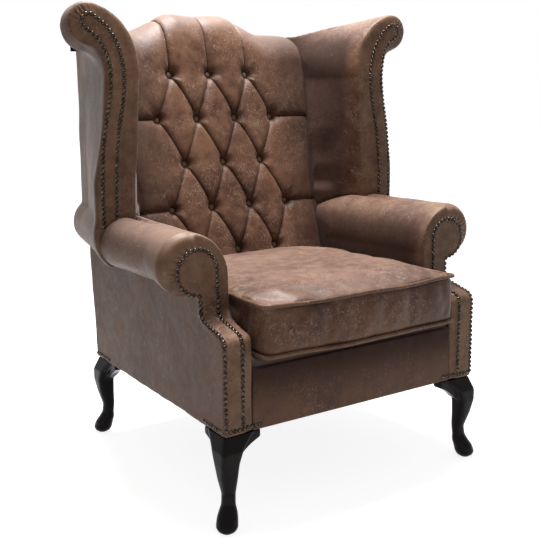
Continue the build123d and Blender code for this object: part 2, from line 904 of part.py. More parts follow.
wing_nail_half = wing_strip_width / 2 - nail_inset
wing_nail_path = []
for share in range(nail_path_steps + 1):
    wing_nail_path.append(beside(wing_strip, share / nail_path_steps, -wing_nail_half))
for share in range(nail_turn_steps + 1):
    end_direction = (wing_strip % 1).rotate(Axis.Z, 90 - 180 * share / nail_turn_steps)
    wing_nail_path.append(wing_strip @ 1 + end_direction * wing_nail_half)
for share in range(nail_path_steps + 1):
    wing_nail_path.append(beside(wing_strip, 1 - share / nail_path_steps, wing_nail_half))
wing_nail_planes = []
for place in steps_along(wing_nail_path, nail_pitch):
    from_roll = hypot(place.X - roll_axis_half, place.Y - roll_axis_height)
    if from_roll > roll_radius + nail_radius:
        origin = (place.X, wing_front - facing_thickness, place.Y)
        wing_nail_planes.append(Plane(origin=origin, x_dir=(1, 0, 0), z_dir=(0, -1, 0)))
with BuildPart() as wing_nails:
    with BuildSketch(*wing_nail_planes):
        RegularPolygon(nail_radius, nail_sides)
    extrude(amount=nail_height, taper=nail_taper)

# Rows of nails above the legs, on the front and the sides
base_nail_planes = []
strip_gaps = round((arm_nail_outer - arm_nail_inner) / nail_pitch)
strip_pitch = (arm_nail_outer - arm_nail_inner) / strip_gaps
for step in range(1, strip_gaps):
    origin = (arm_nail_inner + step * strip_pitch, base_front, nail_row)
    base_nail_planes.append(Plane(origin=origin, x_dir=(1, 0, 0), z_dir=(0, -1, 0)))
for step in range(1, apron_nails + 1):
    origin = (arm_nail_inner - step * nail_pitch, base_front + facing_thickness, nail_row)
    base_nail_planes.append(Plane(origin=origin, x_dir=(1, 0, 0), z_dir=(0, -1, 0)))
for step in range(side_nails):
    from_corner = facing_thickness + nail_radius + step * nail_pitch
    for along in (from_corner, side_length - from_corner):
        base_nail_planes.append(
            Plane(
                origin=side_plane.from_local_coords((along, nail_row, 0)),
                x_dir=side_plane.x_dir,
                z_dir=side_plane.z_dir,
            )
        )
with BuildPart() as base_nails:
    with BuildSketch(*base_nail_planes):
        RegularPolygon(nail_radius, nail_sides)
    extrude(amount=nail_height, taper=nail_taper)
    mirror(about=Plane.YZ)

# Apron and seat deck
with BuildPart() as front_border:
    with BuildSketch(Plane.XZ.offset(-base_front - facing_thickness)):
        with Locations((0, leg_height)):
            Rectangle(
                2 * side_half(front_rail_face, arm_thickness),
                border_top - leg_height,
                align=(Align.CENTER, Align.MIN),
            )
    extrude(amount=facing_thickness - border_thickness)

with BuildPart() as seat_deck:
    with BuildSketch(Plane.XY.offset(strap_top)):
        with BuildLine():
            Polyline(
                (0, front_rail_face),
                (side_half(front_rail_face, arm_thickness), front_rail_face),
                (side_half(base_rear, arm_thickness), base_rear),
                (0, base_rear),
            )
            mirror(about=Plane.YZ)
        make_face()
    extrude(amount=deck_top - strap_top)
    split(bisect_by=web_plane.offset(pad_flap), keep=Keep.TOP)

# Buttoned back
def spot(column, row):
    """A place in the button grid, counted from the middle of the lowest row."""
    return (column * column_pitch, row * row_pitch)


def pad_edge(rise):
    """The point on the back pad's right-hand edge this far up the back."""
    for (low_half, low), (high_half, high) in zip(pad_sides, pad_sides[1:]):
        if rise <= high:
            return (low_half + (high_half - low_half) * (rise - low) / (high - low), rise)
    return (crest_half, rise)


def pillow(*corners):
    """Stuffed cell of the buttoned back, rounded up from the pleats round it."""
    sections = []
    for inset, height in (
        (0, 0),
        (pillow_first_inset, pillow_first_rise),
        (pillow_inset, pillow_height),
    ):
        with BuildSketch(button_plane.offset(height)) as section:
            with BuildLine():
                Polyline(*corners, corners[0])
            make_face()
            if inset:
                offset(amount=-inset, kind=Kind.INTERSECTION, mode=Mode.REPLACE)
        sections.append(section.sketch)
    return loft(sections, ruled=True, mode=Mode.PRIVATE)


def diamond(column, row):
    """A whole cell between four buttons."""
    return (spot(column + 1, row), spot(column, row + 1), spot(column - 1, row), spot(column, row - 1))


button_spots = []
for row in range(button_rows):
    outer_column = 2 + row % 2
    for column in range(-outer_column, outer_column + 1, 2):
        button_spots.append(spot(column, row))

with BuildPart() as back_buttons:
    with BuildSketch(button_plane):
        with Locations(*button_spots):
            RegularPolygon(button_radius, button_sides)
    extrude(amount=button_height, taper=button_taper)

pillow_foot = up_the_back(pillow_foot_height)
crest_tops = []
for x, height in (
    (0, crest_top),
    (2 * column_pitch, crest_top),
    (crest_shoulder_half, crest_shoulder),
    (crest_half, crest_shoulder),
):
    crest_tops.append((x, up_the_back(height - crest_tuck)))
right_cells = [
    diamond(2, 1),
    diamond(1, 2),
    diamond(2, 3),
    (spot(1, 1), (0, pillow_foot), (2 * column_pitch, pillow_foot)),
    (
        spot(3, 1),
        (2 * column_pitch, pillow_foot),
        pad_edge(pillow_foot),
        pad_edge(row_pitch),
    ),
    (
        spot(3, 3),
        spot(2, 2),
        spot(3, 1),
        pad_edge(row_pitch),
        pad_sides[1],
        pad_sides[2],
        pad_edge(3 * row_pitch),
    ),
    (spot(0, 4), spot(1, 3), spot(2, 4), crest_tops[1], crest_tops[0]),
    (
        spot(2, 4),
        spot(3, 3),
        pad_edge(3 * row_pitch),
        pad_sides[3],
        pad_sides[4],
        *reversed(crest_tops[1:]),
    ),
]

with BuildPart() as crest_roll:
    with BuildSketch(Plane.XZ.offset(-crest_front)):
        add(crest_outline.sketch_local)
    extrude(amount=crest_front - crest_back)
    top_rims = edges().filter_by_position(Axis.Z, crest_shoulder, crest_top)
    fillet(top_rims.filter_by(Axis.Y, reverse=True), radius=crest_edge_radius)

with BuildPart() as inside_back:
    with BuildSketch(web_plane):
        add(pad_outline.sketch_local)
        with Locations((0, up_the_back(pad_foot_height))):
            Rectangle(
                2 * base_half_front,
                crest_top,
                align=(Align.CENTER, Align.MIN),
                mode=Mode.INTERSECT,
            )
    extrude(amount=pad_thickness)
    for cell in right_cells:
        half_cell = pillow(*cell)
        add(half_cell)
        mirror(half_cell, about=Plane.YZ)
    for row in (1, 3):
        add(pillow(*diamond(0, row)))
    add(crest_roll.part)
    for piece in (crest_rail, back_webbing, back_buttons):
        add(piece.part, mode=Mode.SUBTRACT)
    for piece in (back_upright, wing_top_rail):
        add(piece.part, mode=Mode.SUBTRACT)
        mirror(piece.part, about=Plane.YZ, mode=Mode.SUBTRACT)

# Fly: the strip that holds down the foot of the inside back, behind the cushion
with BuildPart() as back_fly:
    with BuildSketch(web_plane):
        add(pad_outline.sketch_local)
        with Locations((0, up_the_back(pad_foot_height))):
            Rectangle(
                2 * base_half_front,
                crest_top,
                align=(Align.CENTER, Align.MIN),
                mode=Mode.SUBTRACT,
            )
    extrude(amount=pad_flap)

# Legs, shaped with the corner under the rails at the origin and the chair towards -X and +Y
with BuildPart() as leg_shape:
    for height_share, half_share, corner_share, inset_share in leg_section_shares:
        with BuildSketch(Plane.XY.offset(max(leg_height * height_share, glide_height))):
            with Locations((-leg_width * inset_share, leg_width * inset_share)):
                side = 2 * leg_width * half_share
                RectangleRounded(side, side, corner_share * side / 2)
    loft(ruled=True)
    with BuildSketch(Plane.XZ.offset(-ear_recess)):
        with BuildLine():
            Polyline(
                (-leg_width / 2, leg_height - ear_height),
                (-leg_width / 2, leg_height),
                (-ear_length, leg_height),
                (-ear_length, leg_height - ear_step),
            )
            ThreePointArc(
                (-ear_length, leg_height - ear_step),
                (-ear_hollow_length, leg_height - ear_hollow_height),
                (-ear_foot_length, leg_height - ear_height),
            )
            Line(
                (-ear_foot_length, leg_height - ear_height),
                (-leg_width / 2, leg_height - ear_height),
            )
        make_face()
    front_ear = extrude(amount=-ear_thickness)
    mirror(front_ear, about=Plane(origin=(0, 0, 0), z_dir=(1, 1, 0)))

rear_leg_shape = mirror(leg_shape.part, about=Plane.XZ)
with BuildPart() as leg_front:
    with Locations(leg_corners[0]):
        add(leg_shape.part)
    add(leg_bolts.part, mode=Mode.SUBTRACT)

with BuildPart() as leg_rear:
    with Locations(leg_corners[1]):
        add(rear_leg_shape)
    add(leg_bolts.part, mode=Mode.SUBTRACT)

foot_inset = leg_width * leg_section_shares[-1][-1]
with BuildPart() as foot_glides:
    with BuildSketch():
        with Locations(
            (leg_corners[0][0] - foot_inset, leg_corners[0][1] + foot_inset),
            (leg_corners[1][0] - foot_inset, leg_corners[1][1] - foot_inset),
        ):
            Circle(glide_radius)
        mirror(about=Plane.YZ)
    extrude(amount=glide_height)

with BuildPart() as dust_cover:
    with BuildSketch(Plane.XY.offset(leg_height - dust_cover_thickness)):
        with BuildLine():
            cover_front = base_front + dust_cover_margin
            cover_rear = base_rear - dust_cover_margin
            Polyline(
                (0, cover_front),
                (side_half(cover_front, dust_cover_margin), cover_front),
                (side_half(cover_rear, dust_cover_margin), cover_rear),
                (0, cover_rear),
            )
            mirror(about=Plane.YZ)
        make_face()
    extrude(amount=dust_cover_thickness)
    for piece in (leg_front, leg_rear, leg_bolt_pair):
        add(piece.part, mode=Mode.SUBTRACT)
        mirror(piece.part, about=Plane.YZ, mode=Mode.SUBTRACT)

# Loose seat cushion
cushion_rim = cushion_outline.sketch.faces()[0].outer_wire()


def piping(height):
    """Round piping that runs along the cushion's edge at this height."""
    rim = cushion_rim.moved(Location((0, 0, height)))
    with BuildPart() as cord:
        with BuildLine():
            add(rim)
        with BuildSketch(Plane(origin=rim @ 0, z_dir=rim % 0)):
            Circle(piping_radius)
        sweep()
    return cord


cushion_piping_bottom = piping(cushion_bottom + piping_radius)
cushion_piping_top = piping(cushion_top - piping_radius)

with BuildPart() as cushion_core:
    with BuildSketch(Plane.XY.offset(cushion_bottom + core_margin)):
        add(cushion_outline.sketch)
        offset(amount=-core_margin, mode=Mode.REPLACE)
    extrude(amount=cushion_height - core_margin - core_top_margin)

zip_height = cushion_bottom + cushion_height / 2
with BuildPart() as zip_tape:
    with BuildSketch(Plane.XZ.offset(zip_tape_thickness - cushion_rear)):
        with Locations((0, zip_height)):
            Rectangle(zip_length, zip_width)
    extrude(amount=-zip_tape_thickness)

slider_rest = -(zip_length - slider_length) / 2
with BuildPart() as zip_slider:
    with BuildSketch(Plane.XZ.offset(-cushion_rear - running_gap)):
        with Locations((slider_rest, zip_height)):
            Rectangle(slider_length, slider_width)
    extrude(amount=-slider_height)
    with BuildSketch(Plane.XZ.offset(-cushion_rear - running_gap - slider_height + pull_thickness)):
        with Locations((slider_rest, zip_height)):
            Rectangle(pull_width, pull_length, align=(Align.CENTER, Align.MAX))
    extrude(amount=-pull_thickness)

with BuildPart() as seat_cushion:
    with BuildSketch(Plane.XY.offset(cushion_bottom)):
        add(cushion_outline.sketch)
    extrude(amount=cushion_height)
    crown_sections = []
    for inset, height in (
        (0, 0),
        (crown_inset, crown_first_rise),
        (crown_top_inset, cushion_crown),
    ):
        with BuildSketch(Plane.XY.offset(cushion_top + height)) as crown_section:
            add(cushion_outline.sketch)
            if inset:
                offset(amount=-inset, kind=Kind.INTERSECTION, mode=Mode.REPLACE)
        crown_sections.append(crown_section.sketch)
    loft(crown_sections, ruled=True)
    for piece in (cushion_core, cushion_piping_top, cushion_piping_bottom, zip_tape):
        add(piece.part, mode=Mode.SUBTRACT)

singles = {
    "front_seat_rail": front_seat_rail,
    "rear_seat_rail": rear_seat_rail,
    "corner_blocks": corner_blocks,
    "leg_bolts": leg_bolts,
    "back_lower_rail": back_lower_rail,
    "crest_rail": crest_rail,
    "foot_glides": foot_glides,
    "seat_webbing": seat_webbing,
    "seat_cross_webbing": seat_cross_webbing,
    "back_webbing": back_webbing,
    "seat_deck": seat_deck,
    "dust_cover": dust_cover,
    "front_border": front_border,
    "base_nails": base_nails,
    "inside_back": inside_back,
    "back_fly": back_fly,
    "back_buttons": back_buttons,
    "outside_back": outside_back,
    "seat_cushion": seat_cushion,
    "cushion_core": cushion_core,
    "cushion_piping_top": cushion_piping_top,
    "cushion_piping_bottom": cushion_piping_bottom,
    "zip_tape": zip_tape,
    "zip_slider": zip_slider,
}
for name, piece in singles.items():
    save(piece, name)

pairs = {
    "side_seat_rail": side_seat_rail,
    "rear_post": rear_post,
    "back_upright": back_upright,
    "arm_post": arm_post,
    "arm_rail": arm_rail,
    "arm_roll_board": arm_roll_board,
    "wing_post": wing_post,
    "wing_top_rail": wing_top_rail,
    "leg_front": leg_front,
    "leg_rear": leg_rear,
    "outside_arm": outside_arm,
    "inside_arm": inside_arm,
    "arm_facing": arm_facing,
    "arm_nails": arm_nails,
    "inside_wing": inside_wing,
    "outside_wing": outside_wing,
    "wing_facing": wing_facing,
    "wing_nails": wing_nails,
}
for name, piece in pairs.items():
    save_pair(piece, name)
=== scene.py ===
"""Looks of the wing chair: stuffed leather, a buttoned back, brass nails and turned-out legs.

Shapes are worked out in millimetres and stored in metres. The chair faces -Y.
"""

import json
import math

import bmesh
import bpy
import numpy as np
from mathutils import Matrix, Vector
from mathutils.bvhtree import BVHTree


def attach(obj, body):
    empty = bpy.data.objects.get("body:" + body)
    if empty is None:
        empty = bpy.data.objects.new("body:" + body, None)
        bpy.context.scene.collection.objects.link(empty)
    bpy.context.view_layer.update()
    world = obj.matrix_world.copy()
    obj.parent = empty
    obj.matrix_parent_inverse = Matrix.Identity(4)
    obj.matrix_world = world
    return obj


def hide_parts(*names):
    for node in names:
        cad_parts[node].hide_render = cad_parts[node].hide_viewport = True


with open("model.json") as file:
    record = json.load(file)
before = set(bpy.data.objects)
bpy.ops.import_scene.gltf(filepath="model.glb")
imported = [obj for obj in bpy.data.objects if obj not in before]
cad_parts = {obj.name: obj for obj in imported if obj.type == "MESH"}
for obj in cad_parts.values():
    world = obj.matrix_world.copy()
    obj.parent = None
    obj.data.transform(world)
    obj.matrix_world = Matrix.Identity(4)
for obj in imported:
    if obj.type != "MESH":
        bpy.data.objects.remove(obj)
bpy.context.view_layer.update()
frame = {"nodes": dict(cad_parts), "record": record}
scene = bpy.context.scene
mm = 0.001

# Back: the plane the buttons are pulled down to, and how far the stuffing stands out of it
back_lean = math.radians(17.1)
button_row_height = 485
button_row_depth = 138
column_pitch = 57
row_pitch = 115
stuffing = 27
back_foot = -118
back_end = 760
top_row = 4 * row_pitch
back_overlap = 22
past_edge = 999
crest_top = 1080
crest_shoulder = 1034
crest_flat_half = 66
crest_shoulder_half = 200
crest_ridge_depth = 345
crest_back = 397
crest_foot = 985
pad_sides = ((254, -133), (257, 162), (284, 319), (302, 450), (303, 523), (303, 800))

# Arms and wings
ring_half = 353
ring_height = 532
ring_radius = 51
arm_front = -262
arm_rear_from = 312
arm_rear_to = 326
arm_rear_outer = 290
arm_rear_foot = 280
arm_rear_rise = 0.09
arm_rear_most = 18
arm_crease_depth = 2.1
scroll_half = 432
scroll_height = 1036
scroll_ring = 21
wing_front = 36
wing_rim_reach = 22
wing_crease_depth = 1.7
wing_hollow_depth = 11
wing_corner_out = 4

# Seat cushion
cushion_bottom = 358.3
cushion_top = 472.3
cushion_half_front = 268
cushion_half_rear = 238
cushion_front = -380
cushion_rear = 126
cushion_bow = 12.5
cushion_corner = 18
piping_radius = 4.5
low_seam = cushion_bottom + piping_radius
high_seam = cushion_top - piping_radius
seam_reach = 12
seam_band = 5
seam_spread = 8
seam_pull = 3.2
blown_cap = 11
cushion_voxel = 6
simulated_steps = 20

# Nail heads and covered buttons
nail_radius = 5.3
nail_height = 4.2
nail_sides = 12
nail_rings = 3
button_radius = 9
button_height = 8
button_sides = 28
button_rings = 7


# Meshes
def fresh(name, bm):
    """A new object with this mesh, in the scene."""
    mesh = bpy.data.meshes.new(name)
    bm.to_mesh(mesh)
    bm.free()
    piece = bpy.data.objects.new(name, mesh)
    scene.collection.objects.link(piece)
    return piece


def read_points(mesh):
    """The places of a mesh's vertices, in millimetres."""
    places = np.empty(len(mesh.vertices) * 3)
    mesh.vertices.foreach_get("co", places)
    return places.reshape(-1, 3) / mm


def read_normals(mesh):
    """The outward directions at a mesh's vertices."""
    directions = np.empty(len(mesh.vertices) * 3)
    mesh.vertex_normals.foreach_get("vector", directions)
    return directions.reshape(-1, 3)


def write_points(mesh, places):
    """Moves a mesh's vertices to these places, in millimetres."""
    mesh.vertices.foreach_set("co", (places * mm).ravel())
    mesh.update()


def baked(piece):
    """Puts the result of a piece's modifiers in its mesh."""
    done = piece.evaluated_get(bpy.context.evaluated_depsgraph_get())
    mesh = bpy.data.meshes.new_from_object(done)
    mesh.name = piece.name
    piece.modifiers.clear()
    piece.data = mesh
    return piece


def softened(name, nodes, voxel, passes):
    """One skin over these CAD nodes, remeshed at a voxel size in millimetres and smoothed."""
    bm = bmesh.new()
    for node in nodes:
        bm.from_mesh(frame["nodes"][node].data)
    bmesh.ops.remove_doubles(bm, verts=bm.verts, dist=0.00001)
    piece = fresh(name, bm)
    remesh = piece.modifiers.new("skin", "REMESH")
    remesh.mode = "VOXEL"
    remesh.voxel_size = voxel * mm
    smooth = piece.modifiers.new("soften", "SMOOTH")
    smooth.factor = 0.5
    smooth.iterations = passes
    return baked(piece)


def refine(piece, inside):
    """Splits the edges of a piece whose ends both lie inside a region."""
    chosen = inside(read_points(piece.data))
    bm = bmesh.new()
    bm.from_mesh(piece.data)
    edges = [e for e in bm.edges if all(chosen[v.index] for v in e.verts)]
    bmesh.ops.subdivide_edges(bm, edges=edges, cuts=1, smooth=0, use_grid_fill=True)
    bmesh.ops.triangulate(bm, faces=[f for f in bm.faces if len(f.verts) > 4])
    bm.to_mesh(piece.data)
    bm.free()


def rounded(piece, inside, passes):
    """Smooths a piece within a region, which rounds its edges there."""
    chosen = inside(read_points(piece.data))
    bm = bmesh.new()
    bm.from_mesh(piece.data)
    region = [v for v in bm.verts if chosen[v.index]]
    for _ in range(passes):
        bmesh.ops.smooth_vert(
            bm, verts=region, factor=0.5, use_axis_x=True, use_axis_y=True, use_axis_z=True
        )
    bm.to_mesh(piece.data)
    bm.free()


def press(piece, depth_at):
    """Moves a piece's surface inwards by a depth worked out at each place."""
    places = read_points(piece.data)
    depth = depth_at(places)
    write_points(piece.data, places - read_normals(piece.data) * depth[:, None])


def shade_smooth(piece):
    piece.data.polygons.foreach_set("use_smooth", [True] * len(piece.data.polygons))


def mirrored(piece, name):
    """The left-hand twin of a right-hand piece."""
    bm = bmesh.new()
    bm.from_mesh(piece.data)
    bmesh.ops.scale(bm, verts=bm.verts, vec=(-1, 1, 1))
    bmesh.ops.reverse_faces(bm, faces=bm.faces)
    return fresh(name, bm)


def ramp(values, start, end):
    """0 before start, 1 after end, and a smooth climb between them."""
    share = np.clip((values - start) / (end - start), 0, 1)
    return share * share * (3 - 2 * share)


def ripple(places, size, seed):
    """A smooth, irregular swell between -1 and 1 whose waves are about this long."""
    waves = np.random.default_rng(seed)
    total = np.zeros(len(places))
    for _ in range(9):
        direction = waves.normal(size=3)
        direction /= np.linalg.norm(direction) * size * waves.uniform(0.12, 0.3)
        total += np.sin(places @ direction + waves.uniform(0, 6.28))
    return total / 4


def sheet_of(columns, rows):
    """A flat grid, and the shares from 0 to 1 at which its vertices lie across and along it."""
    bm = bmesh.new()
    bmesh.ops.create_grid(bm, x_segments=columns, y_segments=rows, size=0.5)
    shares = np.array([v.co[:2] for v in bm.verts]) + 0.5
    return bm, shares[:, 0], shares[:, 1]


# Materials
class Finish:
    """A material under construction, whose nodes are added in order."""

    def __init__(self, name):
        self.material = bpy.data.materials.new(name)
        self.material.use_nodes = True
        self.tree = self.material.node_tree
        self.shader = self.tree.nodes["Principled BSDF"]
        self.coordinates = self.tree.nodes.new("ShaderNodeTexCoord")

    def node(self, kind, settings=(), **inputs):
        node = self.tree.nodes.new(kind)
        for name, value in dict(settings).items():
            setattr(node, name, value)
        for name, value in inputs.items():
            self.feed(node.inputs[name.replace("_", " ")], value)
        return node

    def feed(self, socket, value):
        if isinstance(value, bpy.types.NodeSocket):
            self.tree.links.new(value, socket)
        else:
            socket.default_value = value

    def set(self, **inputs):
        for name, value in inputs.items():
            self.feed(self.shader.inputs[name.replace("_", " ")], value)

    def mapping(self, scale):
        node = self.node("ShaderNodeMapping", Scale=scale)
        self.feed(node.inputs["Vector"], self.coordinates.outputs["Object"])
        return node.outputs["Vector"]

    def noise(self, scale, detail=4.0, roughness=0.55, stretch=(1, 1, 1), distortion=0.0):
        node = self.node(
            "ShaderNodeTexNoise",
            Scale=scale,
            Detail=detail,
            Roughness=roughness,
            Distortion=distortion,
            Vector=self.mapping(stretch),
        )
        return node.outputs["Fac"]

    def span(self, value, low, high, to_low=0.0, to_high=1.0):
        node = self.node("ShaderNodeMapRange", {"interpolation_type": "SMOOTHSTEP"}, Value=value)
        for name, number in (
            ("From Min", low),
            ("From Max", high),
            ("To Min", to_low),
            ("To Max", to_high),
        ):
            node.inputs[name].default_value = number
        return node.outputs["Result"]

    def math(self, operation, first, second):
        node = self.node("ShaderNodeMath", {"operation": operation})
        self.feed(node.inputs[0], first)
        self.feed(node.inputs[1], second)
        return node.outputs["Value"]

    def mix(self, share, first, second):
        node = self.node("ShaderNodeMix", {"data_type": "RGBA"})
        self.feed(node.inputs[0], share)
        self.feed(node.inputs[6], first)
        self.feed(node.inputs[7], second)
        return node.outputs[2]

    def attribute(self, name):
        return self.node("ShaderNodeAttribute", {"attribute_name": name}).outputs["Fac"]

    def bump(self, height, distance, strength=1.0, under=None):
        node = self.node("ShaderNodeBump", Height=height, Distance=distance, Strength=strength)
        if under is not None:
            self.feed(node.inputs["Normal"], under)
        return node.outputs["Normal"]


def rgb(red, green, blue):
    return (red, green, blue, 1.0)


def scratches(finish, scale, width, patch_scale):
    """Fine, curling, broken lines that come in patches, from 0 to 1."""
    relief = finish.noise(scale, 2.0, 0.5, distortion=1.4)
    away = finish.node("ShaderNodeMath", {"operation": "ABSOLUTE"})
    finish.feed(away.inputs[0], finish.math("SUBTRACT", relief, 0.5))
    line = finish.span(away.outputs[0], width, width * 0.3)
    patches = finish.span(finish.noise(patch_scale, 4.0, 0.65), 0.43, 0.58)
    return finish.math("MULTIPLY", line, patches)


def distressed_leather():
    """Waxed brown hide: cloudy browns, pale scratches, wear on the edges, painted shade in hollows,
    creases and on shaded sides, painted sheen on faces that look up, and painted light on faces
    that look forward.
    """
    deep_brown = rgb(0.068, 0.029, 0.017)
    warm_brown = rgb(0.138, 0.065, 0.0375)
    plum_brown = rgb(0.096, 0.048, 0.036)
    fleck_light = rgb(0.2, 0.107, 0.065)
    fleck_dark = rgb(0.04, 0.0175, 0.011)
    painted_sheen_pale = rgb(0.25, 0.18, 0.155)
    scratch_pale = rgb(0.36, 0.26, 0.19)
    worn_and_lit_tan = rgb(0.27, 0.165, 0.1)
    painted_shade_dark = rgb(0.03, 0.014, 0.01)
    finish = Finish("leather")
    clouds = finish.noise(4.5, 5.0, 0.62)
    mottle = finish.noise(38.0, 5.0, 0.62)
    colour = finish.mix(finish.span(clouds, 0.36, 0.62), deep_brown, warm_brown)
    plum = finish.span(finish.noise(3.1, 3.0), 0.5, 0.68, 0.0, 0.5)
    colour = finish.mix(plum, colour, plum_brown)
    colour = finish.mix(finish.span(mottle, 0.46, 0.7, 0.0, 0.45), colour, fleck_light)
    colour = finish.mix(finish.span(mottle, 0.5, 0.3, 0.0, 0.5), colour, fleck_dark)
    lines = scratches(finish, 34.0, 0.011, 8.0)
    lines = finish.math("MAXIMUM", lines, scratches(finish, 62.0, 0.016, 13.0))
    patchy = finish.span(clouds, 0.3, 0.65, 0.45, 1.0)
    # painted sheen: faces that look up are mixed toward a pale grey-brown, patchy with the clouds
    painted_sheen_share = finish.math("MULTIPLY", finish.attribute("painted_sheen"), patchy)
    colour = finish.mix(painted_sheen_share, colour, painted_sheen_pale)
    colour = finish.mix(finish.math("MULTIPLY", lines, 0.55), colour, scratch_pale)
    # real wear and painted light: a share at each vertex mixes toward tan, for rubbed places and
    # for faces made paler as if lit from the front
    uneven = finish.span(mottle, 0.25, 0.75, 0.35, 1.0)
    wear_and_front_light = finish.math("MULTIPLY", finish.attribute("wear_and_front_light"), uneven)
    colour = finish.mix(wear_and_front_light, colour, worn_and_lit_tan)
    # painted shade: a share at each vertex darkens the leather toward near-black and dulls it
    painted_shade = finish.attribute("painted_shade")
    colour = finish.mix(painted_shade, colour, painted_shade_dark)
    grain = finish.node(
        "ShaderNodeTexVoronoi", Vector=finish.coordinates.outputs["Object"], Scale=620.0
    )
    soft = finish.bump(finish.noise(70.0, 4.0), 0.0012, 0.35)
    fine = finish.bump(grain.outputs["Distance"], 0.0004, 0.22, soft)
    dull = finish.math("MULTIPLY", painted_shade, 0.4)
    finish.set(
        Base_Color=colour,
        Roughness=finish.math("ADD", finish.span(mottle, 0.3, 0.7, 0.36, 0.5), dull),
        Specular_IOR_Level=0.16,
        IOR=1.5,
        Sheen_Weight=0.12,
        Sheen_Roughness=0.35,
        Sheen_Tint=rgb(1.0, 0.97, 0.96),
        Normal=fine,
    )
    return finish.material


def grained_wood(name, dark, light, roughness, gloss, stretch):
    """Wood whose grain runs along one axis."""
    finish = Finish(name)
    grain = finish.noise(14.0, 8.0, 0.7, stretch, 0.6)
    pores = finish.noise(90.0, 4.0, 0.6, stretch)
    colour = finish.mix(finish.span(grain, 0.35, 0.65), dark, light)
    finish.set(
        Base_Color=colour,
        Roughness=roughness,
        Specular_IOR_Level=gloss,
        Normal=finish.bump(pores, 0.0002, 0.15),
    )
    return finish.material


def worn_metal(name, dark, light, roughness):
    """Metal that is dark in places and rubbed bright in others."""
    finish = Finish(name)
    patina = finish.noise(160.0, 3.0)
    finish.set(
        Base_Color=finish.mix(finish.span(patina, 0.4, 0.65), dark, light),
        Metallic=1.0,
        Roughness=roughness,
    )
    return finish.material


def woven(name, colour, second, scale, depth):
    """Cloth with a plain weave."""
    finish = Finish(name)
    threads = []
    for direction in ("X", "Y"):
        wave = finish.node(
            "ShaderNodeTexWave",
            {"bands_direction": direction},
            Vector=finish.coordinates.outputs["Object"],
            Scale=scale,
        )
        threads.append(wave.outputs["Fac"])
    weave = finish.math("MAXIMUM", *threads)
    finish.set(
        Base_Color=finish.mix(weave, second, colour),
        Roughness=0.9,
        Sheen_Weight=0.2,
        Normal=finish.bump(weave, depth),
    )
    return finish.material


def plain(name, colour, roughness, speckle=0.0):
    """A moulded or foamed material with a fine, uneven surface."""
    finish = Finish(name)
    spots = finish.noise(400.0, 2.0)
    lighter = tuple(min(1.0, part * 1.25) for part in colour[:3]) + (1.0,)
    finish.set(
        Base_Color=finish.mix(finish.span(spots, 0.4, 0.6), colour, lighter),
        Roughness=roughness,
        Normal=finish.bump(spots, 0.0003, speckle),
    )
    return finish.material


finishes = {
    "leather": distressed_leather(),
    "leg_wood": grained_wood(
        "leg_wood", rgb(0.003, 0.0015, 0.0015), rgb(0.008, 0.0032, 0.0032), 0.14, 0.09, (3, 3, 0.4)
    ),
    "frame_wood": grained_wood(
        "frame_wood", rgb(0.5, 0.34, 0.2), rgb(0.66, 0.49, 0.31), 0.6, 0.4, (3, 3, 0.4)
    ),
    "nail_metal": worn_metal("nail_metal", rgb(0.022, 0.017, 0.014), rgb(0.085, 0.065, 0.05), 0.16),
    "bolt_steel": worn_metal("bolt_steel", rgb(0.4, 0.4, 0.42), rgb(0.62, 0.62, 0.62), 0.35),
    "glide_plastic": plain("glide_plastic", rgb(0.02, 0.02, 0.02), 0.5),
    "webbing": woven("webbing", rgb(0.14, 0.13, 0.12), rgb(0.05, 0.045, 0.04), 220.0, 0.0006),
    "deck_cloth": woven("deck_cloth", rgb(0.1, 0.065, 0.05), rgb(0.06, 0.038, 0.03), 300.0, 0.0003),
    "dust_cloth": woven(
        "dust_cloth", rgb(0.025, 0.025, 0.025), rgb(0.012, 0.012, 0.012), 400.0, 0.0002
    ),
    "core_foam": plain("core_foam", rgb(0.72, 0.64, 0.45), 0.95, 0.6),
    "zip_cloth": woven(
        "zip_cloth", rgb(0.08, 0.045, 0.035), rgb(0.04, 0.022, 0.018), 500.0, 0.0003
    ),
    "zip_metal": worn_metal("zip_metal", rgb(0.12, 0.09, 0.06), rgb(0.35, 0.27, 0.17), 0.3),
}
for subpart in frame["record"]["subparts"]:
    node = frame["nodes"][subpart["node"]]
    node.data.materials.clear()
    node.data.materials.append(finishes[subpart["material_slot"]])


def finished(piece, slot, body, *nodes):
    """Gives a piece its material and its body, and hides the CAD nodes it stands for."""
    shade_smooth(piece)
    piece.data.materials.clear()
    piece.data.materials.append(finishes[slot])
    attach(piece, body)
    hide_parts(*nodes)
    return piece


def tint(piece, name, values):
    """Stores a value from 0 to 1 at each vertex, for the leather to read."""
    layer = piece.data.attributes.new(name, "FLOAT", "POINT")
    layer.data.foreach_set("value", np.clip(values, 0, 1).astype(float))


# Buttoned back
def crest_height(half):
    """Height of the crest at this distance from the middle."""
    share = ramp(np.abs(half), crest_flat_half, crest_shoulder_half)
    return crest_top - (crest_top - crest_shoulder) * share


def bend(start, first, second, end, share):
    """A point on a Bezier curve."""
    rest = 1 - share
    return (
        start * rest**3
        + 3 * first * rest**2 * share
        + 3 * second * rest * share**2
        + end * share**3
    )


